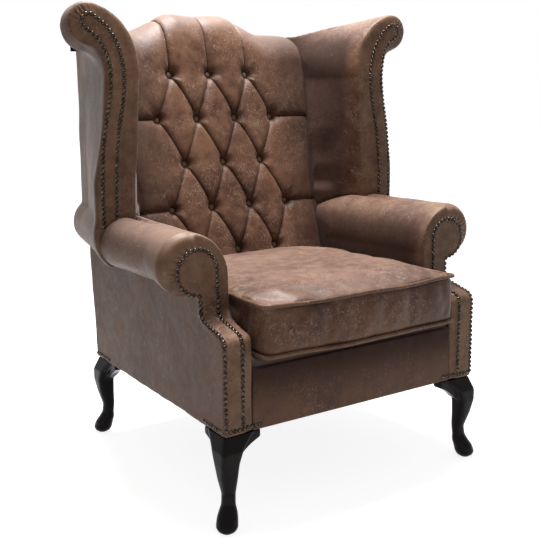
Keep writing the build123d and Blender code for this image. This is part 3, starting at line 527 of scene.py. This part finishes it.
def back_surface(half, rise):
    """The outside of the stuffing, up the back and over the crest roll."""
    bend_below_crest = 75
    ridge_share = 0.48
    tail_share = 0.8
    tail_drop = 42
    top = crest_height(half)
    out = stuffing * math.cos(back_lean)
    lift = stuffing * math.sin(back_lean)
    bend_from = (top - bend_below_crest - button_row_height - lift) / math.cos(back_lean)
    straight = np.minimum(rise, bend_from)
    depth = button_row_depth - out + straight * math.sin(back_lean)
    height = button_row_height + lift + straight * math.cos(back_lean)
    share = np.clip((rise - bend_from) / (back_end - bend_from), 0, 1)
    over = np.clip(share / ridge_share, 0, 1)
    behind = np.clip((share - ridge_share) / (tail_share - ridge_share), 0, 1)
    down = np.clip((share - tail_share) / (1 - tail_share), 0, 1)
    tail_depth = np.full_like(top, crest_back)
    tail_height = top - tail_drop
    depth_over = bend(depth, depth + 13, crest_ridge_depth - 42, crest_ridge_depth, over)
    height_over = bend(height, height + 45, top, top, over)
    depth_behind = bend(crest_ridge_depth, crest_ridge_depth + 29, tail_depth, tail_depth, behind)
    height_behind = bend(top, top, tail_height + 23, tail_height, behind)
    past_ridge = share > ridge_share
    depth = np.where(past_ridge, depth_behind, depth_over)
    height = np.where(past_ridge, height_behind, height_over)
    height = height - down * (tail_height - crest_foot)
    return np.stack([half, depth, height], axis=-1)


def pad_edge(rise):
    """Half the width of the back at this distance up it."""
    return np.interp(rise, [r for _, r in pad_sides], [h for h, _ in pad_sides])


def button_spots():
    spots = []
    for row in range(5):
        columns = (-2, 0, 2) if row % 2 == 0 else (-3, -1, 1, 3)
        spots += [(column * column_pitch, row * row_pitch) for column in columns]
    return spots


def pleats():
    """The folds between the buttons, and those that run out from the outer ones."""
    spots = button_spots()
    between = []
    for first in spots:
        for second in spots:
            if second[1] - first[1] == row_pitch and abs(second[0] - first[0]) == column_pitch:
                between.append((first, second))
    outwards = []
    for column in (-2, 0, 2):
        half = column * column_pitch
        outwards.append(((half, 4 * row_pitch), (half * 1.04, back_end)))
        outwards.append(((half, 0), (half, back_foot)))
    for row in (1, 3):
        for side in (-1, 1):
            half = side * 3 * column_pitch
            outwards.append(((half, row * row_pitch), (side * 320, row * row_pitch - 6)))
    return between, outwards


def fold_depth(half, rise, start, end, depth_along):
    """How far one fold pulls the leather in, with a steeper side above it than below."""
    run = np.array(end, dtype=float) - np.array(start)
    length = np.hypot(*run)
    across = (half - start[0]) * run[1] - (rise - start[1]) * run[0]
    share = np.clip(((half - start[0]) * run[0] + (rise - start[1]) * run[1]) / length**2, 0, 1)
    away = np.hypot(half - start[0] - share * run[0], rise - start[1] - share * run[1])
    above = -across * np.sign(run[0]) > 0 if run[0] else np.zeros_like(across, dtype=bool)
    width = np.where(above, 0.72, 1.12)
    steep_part = 0.42 * np.exp(-away / (4.5 * width))
    gentle_part = 0.58 * np.exp(-away / (19 * width))
    fall = steep_part + gentle_part
    slit = 1.4 * np.exp(-((away / 1.3) ** 2))
    return depth_along(share, length) * fall + slit


def tuft_depth(half, rise):
    """How far the leather lies below the top of the stuffing."""
    rise_between_buttons = 17
    outer_fold = 6.5
    outer_fold_fades = 38
    well_rim = 7
    well_spread = 11
    between, outwards = pleats()
    power = 7
    total = np.zeros_like(half)
    for start, end in between:
        depth = fold_depth(
            half,
            rise,
            start,
            end,
            lambda t, _: stuffing - rise_between_buttons * np.sin(np.pi * t) ** 0.7,
        )
        total += depth**power
    for start, end in outwards:
        depth = fold_depth(
            half,
            rise,
            start,
            end,
            lambda t, length: outer_fold
            + (stuffing - outer_fold) * np.exp(-t * length / outer_fold_fades),
        )
        total += depth**power
    for button_half, button_rise in button_spots():
        away = np.hypot(half - button_half, rise - button_rise)
        fall = np.maximum(away - well_rim, 0) / well_spread
        well = (stuffing + 1.5) * np.exp(-(fall**1.1))
        total += well**power
    return np.minimum(total ** (1 / power), stuffing + 2)


def gathers(half, rise):
    """Small creases that fan out from each button."""
    total = np.zeros_like(half)
    chance = np.random.default_rng(5)
    for button_half, button_rise in button_spots():
        away = np.hypot(half - button_half, rise - button_rise)
        turn = np.arctan2(rise - button_rise, half - button_half)
        count = chance.integers(8, 12)
        ridges = np.sin(turn * count + chance.uniform(0, 6.28) + 0.8 * np.sin(3 * turn))
        total += np.exp(-(((away - 19) / 11) ** 2)) * ridges
    return total


def back_patches():
    """Cells of the button grid as (corner places, segments up): edges lie on the folds."""

    def grid(column, row):
        return (column * column_pitch, row * row_pitch)

    patches = []
    for column, row in ((0, 1), (0, 3), (-2, 1), (2, 1), (-1, 2), (1, 2), (-2, 3), (2, 3)):
        corners = [grid(column, row - 1), grid(column + 1, row)]
        corners += [grid(column - 1, row), grid(column, row + 1)]
        patches.append((corners, 34))
    for side in (-1, 1):

        def at(column, row):
            return (side * column * column_pitch, row * row_pitch)

        def level(column, rise):
            return (side * column * column_pitch, rise)

        patches += [
            ([at(2, 2), at(3, 1), at(3, 3), at(3, 2)], 34),
            ([at(0, 4), at(1, 3), level(0, back_end), level(1, back_end)], 90),
            ([at(2, 4), at(1, 3), level(2, back_end), level(1, back_end)], 90),
            ([at(2, 4), at(3, 3), level(2, back_end), level(3, back_end)], 90),
            ([level(0, back_foot), level(1, back_foot), at(0, 0), at(1, 1)], 34),
            ([level(2, back_foot), level(1, back_foot), at(2, 0), at(1, 1)], 34),
            ([level(2, back_foot), level(3, back_foot), at(2, 0), at(3, 1)], 34),
        ]
        for low, high, segments in (
            (back_foot, row_pitch, 34),
            (row_pitch, 2 * row_pitch, 34),
            (2 * row_pitch, 3 * row_pitch, 34),
            (3 * row_pitch, back_end, 90),
        ):
            edge = side * past_edge
            patches.append(([level(3, low), (edge, low), level(3, high), (edge, high)], segments))
    return patches


def buttoned_back():
    """The stuffed back: pillows between folds, a crest roll and its gathered creases."""
    wall_depth = 30
    wall_slant = 6
    whole = bmesh.new()
    for corners, segments in back_patches():
        bm, across, along = sheet_of(34, segments)
        across = (1 - np.cos(np.pi * across)) / 2
        along = (1 - np.cos(np.pi * along)) / 2
        low_left, low_right, high_left, high_right = (np.array(c, dtype=float) for c in corners)
        low = low_left + (low_right - low_left) * across[:, None]
        high = high_left + (high_right - high_left) * across[:, None]
        spots = low + (high - low) * along[:, None]
        if abs(low_right[0]) == past_edge:
            inner = np.abs(low_left[0])
            edge = pad_edge(spots[:, 1]) + back_overlap
            spots[:, 0] = np.sign(low_right[0]) * (inner + (edge - inner) * across)
        for vertex, (half, rise) in zip(bm.verts, spots):
            vertex.co = (half, rise, 0)
        patch = bpy.data.meshes.new("patch")
        bm.to_mesh(patch)
        bm.free()
        whole.from_mesh(patch)
        bpy.data.meshes.remove(patch)
    bmesh.ops.remove_doubles(whole, verts=whole.verts, dist=0.01)
    spots = np.array([v.co[:2] for v in whole.verts])
    half, rise = spots[:, 0], spots[:, 1]
    base = back_surface(half, rise)
    across = back_surface(half + 0.5, rise) - back_surface(half - 0.5, rise)
    along = back_surface(half, np.minimum(rise + 0.5, back_end)) - back_surface(half, rise - 0.5)
    outwards = np.cross(across, along)
    outwards /= np.linalg.norm(outwards, axis=1)[:, None]
    depth = tuft_depth(half, rise)
    fade = ramp(rise, back_end, back_end - 190)
    depth = np.where(rise > top_row, depth * (0.35 + 0.65 * fade), depth)
    tuck = 9 * np.exp(-np.maximum(pad_edge(rise) - np.abs(half), 0) / 12)
    soft = ripple(base, 90, 3) * 1.2 * ramp(depth, 14, 2)
    total = depth + tuck - gathers(half, rise) * 0.7 + soft
    places = base - outwards * total[:, None]
    # Painted shade: darker by the depth of folds and wells, on the back's upper sides where the
    # wings shade it, and along the pad's edges against the wings
    shade = ramp(depth, 10, stuffing + 2) * 0.75 + ramp(depth, 3, 9) * 0.12
    edge = ramp(np.abs(half), 100, 260) * ramp(rise, 690, 540) * 0.6
    pad_edge_shade = ramp(np.abs(half) - pad_edge(rise), -14, 0) * 0.9
    painted_shade = whole.verts.layers.float.new("painted_shade")
    dark = np.maximum.reduce([shade, edge, pad_edge_shade])
    for vertex, place, value in zip(whole.verts, places, dark):
        vertex.co = place * mm
        vertex[painted_shade] = value
    sides = [e for e in whole.edges if e.is_boundary and all(v.co.z < 1.0 for v in e.verts)]
    made = bmesh.ops.extrude_edge_only(whole, edges=sides)
    for vertex in (g for g in made["geom"] if isinstance(g, bmesh.types.BMVert)):
        inwards = wall_depth * ramp(vertex.co.z / mm, 960, 900)
        aside = -math.copysign(wall_slant, vertex.co.x)
        vertex.co += Vector((aside, inwards, -0.3 * inwards)) * mm
        # the hidden walls take full painted shade
        vertex[painted_shade] = 1.0
    bmesh.ops.recalc_face_normals(whole, faces=whole.faces)
    piece = fresh("buttoned_back", whole)
    if read_normals(piece.data)[:, 1].mean() > 0:
        piece.data.flip_normals()
    return piece


def painted_sheen(piece, share, low=-1e4):
    """Painted sheen: pales the leather where it faces up, above a height, as the overhead light's
    sheen would.
    """
    upwards = ramp(read_normals(piece.data)[:, 2], 0.25, 0.95)
    tint(piece, "painted_sheen", upwards * share * (read_points(piece.data)[:, 2] > low))


back = finished(buttoned_back(), "leather", "chair", "inside_back")
# painted sheen on the back's upward faces above 900 mm
painted_sheen(back, 0.7, 900)


# Covered buttons and nail heads
def domes(name, seats, radius, height, sides, rings):
    """Round heads, each on a place with a direction it faces."""
    whole = bmesh.new()
    for place, direction in seats:
        made = bmesh.ops.create_uvsphere(whole, u_segments=sides, v_segments=2 * rings, radius=1)
        ball = made["verts"]
        under = [v for v in ball if v.co.z < -0.01]
        bmesh.ops.delete(whole, geom=under, context="VERTS")
        ball = [v for v in ball if v.is_valid]
        turn = Vector((0, 0, 1)).rotation_difference(direction).to_matrix().to_4x4()
        size = Matrix.Diagonal((radius * mm, radius * mm, height * mm, 1))
        bmesh.ops.transform(whole, matrix=Matrix.Translation(place) @ turn @ size, verts=ball)
    return fresh(name, whole)


button_direction = Vector((0, -math.cos(back_lean), math.sin(back_lean)))
button_seats = []
for button_half, button_rise in button_spots():
    place = Vector(
        (
            button_half,
            button_row_depth + button_rise * math.sin(back_lean),
            button_row_height + button_rise * math.cos(back_lean),
        )
    )
    button_seats.append(((place - button_direction * 1.5) * mm, button_direction))
buttons = domes(
    "covered_buttons", button_seats, button_radius, button_height, button_sides, button_rings
)
finished(buttons, "leather", "chair", "back_buttons")
tint(buttons, "wear_and_front_light", np.full(len(buttons.data.vertices), 0.5))


def nail_seats(node, surfaces):
    """The place and direction of each nail in a CAD node, moved along it to the leather."""
    bm = bmesh.new()
    bm.from_mesh(frame["nodes"][node].data)
    bmesh.ops.remove_doubles(bm, verts=bm.verts, dist=0.00002)
    seats = []
    left = set(bm.verts)
    while left:
        found = [left.pop()]
        for vertex in found:
            for edge in vertex.link_edges:
                other = edge.other_vert(vertex)
                if other in left:
                    left.remove(other)
                    found.append(other)
        middle = sum((v.co for v in found), Vector()) / len(found)
        reach = max((v.co - middle).length for v in found)
        rim = [v.co for v in found if (v.co - middle).length > 0.93 * reach]
        place = sum(rim, Vector()) / len(rim)
        direction = (middle - place).normalized()
        hits = []
        for surface in surfaces:
            hit, _, _, away = surface.ray_cast(place + direction * 0.02, -direction, 0.035)
            if hit is not None:
                hits.append((away, hit))
        if hits:
            place = min(hits, key=lambda found: found[0])[1]
        seats.append((place - direction * 0.0004, direction))
    bm.free()
    return seats


# Arms
def creases(places, centre, ring, angles, depth, front):
    """Short, uneven grooves that run out from a nailed ring and fade before the roll's edge."""
    across = places[:, 0] - centre[0]
    up = places[:, 2] - centre[1]
    away = np.hypot(across, up)
    turn = np.arctan2(up, across)
    behind = np.maximum(places[:, 1] - front, 0)
    total = np.zeros(len(places))
    for angle, share, length in angles:
        bent = math.radians(angle) + 0.12 * math.sin(angle) * (away - ring) / ring
        aside = np.abs((turn - bent + np.pi) % (2 * np.pi) - np.pi) * away
        groove = np.exp(-((aside / 1.6) ** 2)) - 0.4 * np.exp(-(((aside - 4.2) / 2.2) ** 2))
        outwards = away - ring + 1.5 * behind
        total += share * groove * ramp(outwards, -1, 4) * ramp(outwards, length + 6, length * 0.4)
    return total * depth * (away > ring - 8)


def stuffed_arm():
    """The arm's cover with its roll, scroll front and nailed facing."""
    nodes = ["inside_arm", "outside_arm", "arm_facing", "arm_post", "arm_rail", "arm_roll_board"]
    piece = softened("stuffed_arm_right", [f"{n}_right" for n in nodes], 3.6, 8)

    def cap(places):
        away = np.hypot(places[:, 0] - ring_half, places[:, 2] - ring_height)
        near = places[:, 1] < arm_front + 48
        return near & (places[:, 2] > 470) & (away > ring_radius - 6)

    refine(piece, cap)
    folds = [(96, 0.4, 11), (78, 0.8, 15), (63, 0.9, 17), (50, 1.1, 22), (39, 0.8, 15)]
    folds += [(28, 1.2, 26), (14, 0.7, 14), (3, 1.2, 24), (-12, 0.8, 18), (-40, 1.5, 16)]

    def depth_at(places):
        front = creases(
            places, (ring_half, ring_height), ring_radius, folds, arm_crease_depth, arm_front
        )
        return front + ripple(places, 120, 8) * 0.9

    press(piece, depth_at)
    places = read_points(piece.data)
    end = ramp(places[:, 1], arm_rear_from, arm_rear_to) * (places[:, 0] > arm_rear_outer)
    reach = np.clip((places[:, 2] - arm_rear_foot) * arm_rear_rise, 0, arm_rear_most)
    places[:, 1] += end * reach
    write_points(piece.data, places)
    return piece


def arm_wear_and_painted_light(piece):
    """Rubbed on the front of the roll, paler on its top front and front edge; painted shade inside
    below the roll and on its outer side; painted light on faces that look forward.
    """
    places = read_points(piece.data)
    inwards = -read_normals(piece.data)[:, 0] * np.sign(places[:, 0])
    # painted shade on the inner faces below the roll
    inside = ramp(inwards, 0.1, 0.8) * ramp(places[:, 2], 605, 545)
    inside *= ramp(places[:, 1], -300, -200)
    # painted shade on the outer side
    outer_side_shade = ramp(-inwards, 0.6, 0.95) * 0.22
    tint(piece, "painted_shade", np.maximum(inside * 0.85, outer_side_shade))
    away = np.hypot(np.abs(places[:, 0]) - ring_half, places[:, 2] - ring_height)
    cap = ramp(away, ring_radius - 2, ring_radius + 6) * ramp(places[:, 1], -225, -245)
    cap *= ramp(places[:, 2], 455, 480)
    top = ramp(places[:, 2], 585, 606) * ramp(places[:, 1], -120, -220) * 0.6
    edge = ramp(places[:, 1], -335, -350) * 0.35
    # painted light: faces that look forward are made paler
    painted_front_light = ramp(-read_normals(piece.data)[:, 1], 0.6, 0.95) * 0.38
    tint(piece, "wear_and_front_light", np.maximum.reduce([cap * 0.5, top, edge, painted_front_light]))


arm_nodes = ("inside_arm", "outside_arm", "arm_facing")
arm_right = stuffed_arm()
arm_left = mirrored(arm_right, "stuffed_arm_left")
for piece, side in ((arm_right, "right"), (arm_left, "left")):
    finished(piece, "leather", "chair", *(f"{n}_{side}" for n in arm_nodes))
    arm_wear_and_painted_light(piece)
    # painted sheen on the arm tops, stronger on the left arm
    painted_sheen(piece, 0.6 if side == "left" else 0.22, 480)


# Wings
def stuffed_wing():
    """The wing's cover with its scroll and nailed facing."""
    nodes = ["inside_wing", "outside_wing", "wing_facing", "wing_post", "wing_top_rail"]
    piece = softened("stuffed_wing_right", [f"{n}_right" for n in nodes], 3.4, 8)
    rounded(piece, lambda places: places[:, 1] < wing_front + wing_rim_reach, 26)

    def scroll(places):
        away = np.hypot(places[:, 0] - scroll_half, places[:, 2] - scroll_height)
        return (places[:, 1] < wing_front + 50) & (away < 60) & (away > scroll_ring - 6)

    refine(piece, scroll)
    folds = [(118, 0.4, 12), (92, 0.6, 14), (68, 0.9, 18), (46, 1, 20), (27, 1.1, 17)]
    folds += [(8, 1, 21), (-12, 0.8, 16), (-33, 0.9, 19), (-55, 0.5, 12)]

    def depth_at(places):
        front = creases(
            places, (scroll_half, scroll_height), scroll_ring, folds, wing_crease_depth, wing_front
        )
        behind_rim = ramp(places[:, 1], 92, 140) * ramp(places[:, 1], 215, 185)
        behind_rim *= ramp(places[:, 2], 790, 710) * ramp(places[:, 2], 615, 645)
        behind_rim *= places[:, 0] < 330
        corner = ramp(places[:, 1], 84, 66) * ramp(places[:, 0], 372, 388)
        corner *= ramp(places[:, 2], 980, 940)
        swell = ripple(places, 110, 12) * 0.9
        return front + swell + behind_rim * wing_hollow_depth - corner * wing_corner_out

    press(piece, depth_at)
    return piece


def wing_wear_and_painted_light(piece):
    """Rubbed along the ridge; painted shade inside where the wing meets the back and on its outer
    side; painted light on faces that look forward.
    """
    places = read_points(piece.data)
    inwards = -read_normals(piece.data)[:, 0] * np.sign(places[:, 0])
    ridge = ramp(places[:, 2], 1040, 1075) * 0.35
    # painted shade on the inner faces near the back
    inside = ramp(inwards, -0.1, 0.6) * ramp(places[:, 1], wing_front + 5, wing_front + 70)
    inside *= ramp(places[:, 2], 1060, 1000)
    # painted light: faces that look forward are made paler
    painted_front_light = ramp(-read_normals(piece.data)[:, 1], 0.6, 0.95) * 0.3
    tint(piece, "wear_and_front_light", np.maximum(ridge, painted_front_light))
    # painted shade on the outer side
    outer_side_shade = ramp(-inwards, 0.5, 0.9) * 0.2
    tint(piece, "painted_shade", np.maximum(inside * 0.8, outer_side_shade))


wing_nodes = ("inside_wing", "outside_wing", "wing_facing")
wing_right = stuffed_wing()
wing_left = mirrored(wing_right, "stuffed_wing_left")
for piece, side in ((wing_right, "right"), (wing_left, "left")):
    finished(piece, "leather", "chair", *(f"{n}_{side}" for n in wing_nodes))
    wing_wear_and_painted_light(piece)
    # painted sheen on the wings' upward faces above 900 mm
    painted_sheen(piece, 0.5, 900)

# Apron, outside back and seat deck
apron = softened("apron", ["front_border"], 3.0, 5)
finished(apron, "leather", "chair", "front_border")
# painted shadow: the apron darkens toward its top under the cushion's overhang, and a little all
# over
tint(apron, "painted_shade", 0.15 + ramp(read_points(apron.data)[:, 2], 225, 335) * 0.8)
rear_panel = softened("outside_back_panel", ["outside_back"], 2.8, 4)
press(rear_panel, lambda places: ripple(places, 160, 21) * 0.7)
finished(rear_panel, "leather", "chair", "outside_back")
fly = softened("back_fly_strip", ["back_fly"], 2.5, 3)
finished(fly, "leather", "chair", "back_fly")
deck = softened("sprung_deck", ["seat_deck"], 6.0, 6)
finished(deck, "deck_cloth", "chair", "seat_deck")

def nail_heads(name, seats):
    """Nail heads on these places."""
    return domes(name, seats, nail_radius, nail_height, nail_sides, nail_rings)


# Nails
surfaces = {
    side: [
        BVHTree.FromObject(piece, bpy.context.evaluated_depsgraph_get())
        for piece in pieces
    ]
    for side, pieces in {
        "right": (arm_right, wing_right, apron),
        "left": (arm_left, wing_left, apron),
    }.items()
}
for side in ("right", "left"):
    for kind in ("arm_nails", "wing_nails"):
        node = f"{kind}_{side}"
        heads = nail_heads(f"{kind}_heads_{side}", nail_seats(node, surfaces[side]))
        finished(heads, "nail_metal", "chair", node)
both = surfaces["right"] + surfaces["left"]
heads = nail_heads("base_nail_heads", nail_seats("base_nails", both))
finished(heads, "nail_metal", "chair", "base_nails")


# Legs
for end in ("front", "rear"):
    right_leg = softened(f"cabriole_{end}_right", [f"leg_{end}_right"], 1.8, 30)
    left_leg = mirrored(right_leg, f"cabriole_{end}_left")
    finished(right_leg, "leg_wood", "chair", f"leg_{end}_right")
    finished(left_leg, "leg_wood", "chair", f"leg_{end}_left")


# Seat cushion
def cushion_rim(count):
    """Points round the cushion's outline, evenly spaced, and the directions out of it."""
    front_slope = 4 * cushion_bow / (2 * cushion_half_front)
    corners = [
        (cushion_half_front, cushion_front, -math.pi / 2 + front_slope, -0.06),
        (cushion_half_rear, cushion_rear, -0.06, math.pi / 2),
        (-cushion_half_rear, cushion_rear, math.pi / 2, math.pi + 0.06),
        (-cushion_half_front, cushion_front, math.pi + 0.06, 1.5 * math.pi - front_slope),
    ]
    points = []
    for x, y, start, end in corners:
        inwards_x = -math.copysign(cushion_corner, x)
        inwards_y = math.copysign(cushion_corner, -y)
        for step in range(9):
            angle = start + (end - start) * step / 8
            points.append(
                (
                    x + inwards_x + cushion_corner * math.cos(angle),
                    y + inwards_y + cushion_corner * math.sin(angle),
                )
            )
    for step in range(1, 24):
        share = step / 24
        x = -cushion_half_front + cushion_corner + share * 2 * (cushion_half_front - cushion_corner)
        points.append((x, cushion_front - cushion_bow * (1 - (2 * share - 1) ** 2)))
    points = np.array(points + points[:1])
    steps = np.hypot(*np.diff(points, axis=0).T)
    along = np.concatenate([[0], np.cumsum(steps)])
    wanted = np.linspace(0, along[-1], count, endpoint=False)
    rim = np.stack([np.interp(wanted, along, points[:, k]) for k in (0, 1)], axis=1)
    forward = np.roll(rim, -1, axis=0) - np.roll(rim, 1, axis=0)
    forward /= np.linalg.norm(forward, axis=1)[:, None]
    outwards = np.stack([forward[:, 1], -forward[:, 0]], axis=1)
    return rim, outwards


def rim_gap(places):
    """How far each place lies from the cushion's outline, seen from above."""
    rim, _ = cushion_rim(400)
    across = np.hypot(places[:, None, 0] - rim[None, :, 0], places[:, None, 1] - rim[None, :, 1])
    return across.min(axis=1)


def blow_up(piece, seams):
    """Fills the cushion with air while its seams are held, then limits and calms the result."""
    start = read_points(piece.data)
    pinned = piece.vertex_groups.new(name="seams")
    pinned.add([int(i) for i in np.flatnonzero(seams)], 1.0, "REPLACE")
    cloth = piece.modifiers.new("cover", "CLOTH")
    cloth.settings.quality = 5
    cloth.settings.mass = 0.4
    cloth.settings.tension_stiffness = 12
    cloth.settings.compression_stiffness = 12
    cloth.settings.shear_stiffness = 5
    cloth.settings.bending_stiffness = 6
    cloth.settings.shrink_min = -0.03
    cloth.settings.use_pressure = True
    cloth.settings.uniform_pressure_force = 2.2
    cloth.settings.vertex_group_mass = "seams"
    cloth.settings.effector_weights.gravity = 0
    cloth.collision_settings.use_collision = False
    cloth.collision_settings.use_self_collision = False
    for step in range(1, simulated_steps + 1):
        scene.frame_set(step)
    baked(piece)
    scene.frame_set(1)
    move = read_points(piece.data) - start
    length = np.linalg.norm(move, axis=1)
    move *= (np.minimum(length, blown_cap) / np.maximum(length, 1e-6))[:, None]
    done = start + move
    done[:, 2] = np.maximum(done[:, 2], cushion_bottom + 0.4)
    write_points(piece.data, done)
    calm = piece.modifiers.new("calm", "SMOOTH")
    calm.factor = 0.5
    calm.iterations = 14
    baked(piece)


def stuffed_cushion():
    """The seat cushion: blown up between its two seams, then pulled in along them."""
    drawn_in = 0.985
    crown_start = 0.62
    piece = softened("stuffed_seat_cushion", ["seat_cushion", "cushion_core"], cushion_voxel, 3)
    places = read_points(piece.data)
    gap = rim_gap(places)
    middle_y = (cushion_front + cushion_rear) / 2
    start = places.copy()
    start[:, 0] *= drawn_in
    start[:, 1] = middle_y + (start[:, 1] - middle_y) * drawn_in
    start[:, 2] = np.where(
        start[:, 2] > high_seam, high_seam + (start[:, 2] - high_seam) * crown_start, start[:, 2]
    )
    write_points(piece.data, start)
    low = np.abs(places[:, 2] - low_seam) < seam_band
    high = np.abs(places[:, 2] - high_seam) < seam_band
    blow_up(piece, (gap < seam_reach) & (low | high))
    finer = piece.modifiers.new("finer", "SUBSURF")
    finer.levels = 1
    finer.render_levels = 1
    baked(piece)
    places = read_points(piece.data)
    across = rim_gap(places)
    distance = np.full(len(places), 99.0)
    for seam in (low_seam, high_seam):
        distance = np.minimum(distance, np.hypot(across, places[:, 2] - seam))
    pull = seam_pull * np.exp(-((distance / seam_spread) ** 2))
    press(piece, lambda _: pull + ripple(places, 130, 31) * 1.1)
    # painted shade along the two seams; painted sheen on the top's upward faces
    tint(piece, "painted_shade", np.exp(-((distance / 7) ** 2)) * 0.45)
    painted_sheen(piece, 0.32, 450)
    return piece


def piping(name, height, seed):
    """A cord in leather along the cushion's edge, which wavers a little."""
    count = 360
    rim, outwards = cushion_rim(count)
    waves = np.random.default_rng(seed)
    around = np.arange(count) / count * 2 * np.pi
    sway = sum(
        waves.uniform(0.2, 0.7) * np.sin(k * around + waves.uniform(0, 6.28)) for k in range(5, 13)
    )
    rim = rim - outwards * 3.2
    bm, across, along = sheet_of(14, count)
    turn = across * 2 * np.pi
    index = np.rint(along * count).astype(int) % count
    out = piping_radius * np.cos(turn)
    up = piping_radius * np.sin(turn)
    for vertex, i, o, u in zip(bm.verts, index, out, up):
        x, y = rim[i] + outwards[i] * o
        vertex.co = Vector((x, y, height + u + sway[i] * 0.8)) * mm
    bmesh.ops.remove_doubles(bm, verts=bm.verts, dist=0.00001)
    bmesh.ops.recalc_face_normals(bm, faces=bm.faces)
    return fresh(name, bm)


cushion = stuffed_cushion()
finished(cushion, "leather", "cushion", "seat_cushion")
for name, height, seed in (("piping_top", high_seam, 4), ("piping_bottom", low_seam + 0.8, 9)):
    cord = piping(name, height, seed)
    finished(cord, "leather", "cushion", f"cushion_{name}")
    tint(cord, "wear_and_front_light", np.full(len(cord.data.vertices), 0.15))


# Studio
def seen_rays(tree):
    """1 for what the camera sees, itself or in a reflection, and 0 for light on its way."""
    paths = tree.nodes.new("ShaderNodeLightPath")
    seen = paths.outputs["Is Camera Ray"]
    for other in ("Is Glossy Ray", "Is Transmission Ray"):
        either = tree.nodes.new("ShaderNodeMath")
        either.operation = "MAXIMUM"
        tree.links.new(seen, either.inputs[0])
        tree.links.new(paths.outputs[other], either.inputs[1])
        seen = either.outputs[0]
    return seen


def studio_floor():
    """Pale floor, seen as white, which takes the chair's shadow."""
    bm = bmesh.new()
    bmesh.ops.create_grid(bm, x_segments=1, y_segments=1, size=12)
    floor = fresh("floor", bm)
    finish = Finish("floor")
    away = finish.node("ShaderNodeVectorMath", {"operation": "LENGTH"})
    finish.feed(away.inputs[0], finish.coordinates.outputs["Object"])
    glow = finish.span(away.outputs["Value"], 0.6, 1.6, 0.85, 1.0)
    finish.set(
        Base_Color=rgb(0.55, 0.55, 0.55),
        Roughness=1.0,
        Specular_IOR_Level=0.0,
        Emission_Color=rgb(1, 1, 1),
        Emission_Strength=finish.math("MULTIPLY", glow, seen_rays(finish.tree)),
    )
    floor.data.materials.append(finish.material)
    return floor


def lamp(name, place, target, size, power):
    light = bpy.data.lights.new(name, "AREA")
    light.shape = "DISK"
    light.size = size
    light.energy = power
    holder = bpy.data.objects.new(name, light)
    holder.location = place
    direction = Vector(target) - Vector(place)
    holder.rotation_euler = direction.to_track_quat("-Z", "Y").to_euler()
    scene.collection.objects.link(holder)


def white_world(level):
    """Plain white surroundings: full white where seen or mirrored, dimmer as a light."""
    world = bpy.data.worlds.new("studio")
    scene.world = world
    world.use_nodes = True
    tree = world.node_tree
    tree.nodes.clear()
    out = tree.nodes.new("ShaderNodeOutputWorld")
    lit = tree.nodes.new("ShaderNodeBackground")
    lit.inputs["Strength"].default_value = level
    shown = tree.nodes.new("ShaderNodeBackground")
    for background in (lit, shown):
        background.inputs["Color"].default_value = rgb(1, 1, 1)
    mix = tree.nodes.new("ShaderNodeMixShader")
    tree.links.new(seen_rays(tree), mix.inputs["Fac"])
    tree.links.new(lit.outputs[0], mix.inputs[1])
    tree.links.new(shown.outputs[0], mix.inputs[2])
    tree.links.new(mix.outputs[0], out.inputs["Surface"])


studio_floor()
white_world(0.33)
lamp("overhead", (0.1, 0.3, 2.75), (0, 0, 0.5), 1.3, 145)

# Camera, solved from the photo's legs, arms, wings and cushion
picture_width = 540
picture_middle = (272.9, 269.1)
focal_length = 62.35
camera_place = (-1.2866, -1.8611, 0.9100)
azimuth = math.radians(-34.98)
elevation = math.radians(11.38)
roll = math.radians(-0.35)
away = Vector(
    (
        math.sin(azimuth) * math.cos(elevation),
        -math.cos(azimuth) * math.cos(elevation),
        math.sin(elevation),
    )
)
level_right = (-away).cross(Vector((0, 0, 1))).normalized()
level_up = level_right.cross(-away)
right = level_right * math.cos(roll) + level_up * math.sin(roll)
up = level_up * math.cos(roll) - level_right * math.sin(roll)
camera = bpy.data.objects.new("camera", bpy.data.cameras.new("camera"))
camera.matrix_world = Matrix.Translation(camera_place) @ Matrix(
    (
        (right.x, up.x, away.x, 0),
        (right.y, up.y, away.y, 0),
        (right.z, up.z, away.z, 0),
        (0, 0, 0, 1),
    )
)
camera.data.lens = focal_length
camera.data.sensor_width = 36
camera.data.shift_x = (picture_width / 2 - picture_middle[0]) / picture_width
camera.data.shift_y = (picture_middle[1] - picture_width / 2) / picture_width
scene.collection.objects.link(camera)
scene.camera = camera
scene.view_settings.view_transform = "Standard"
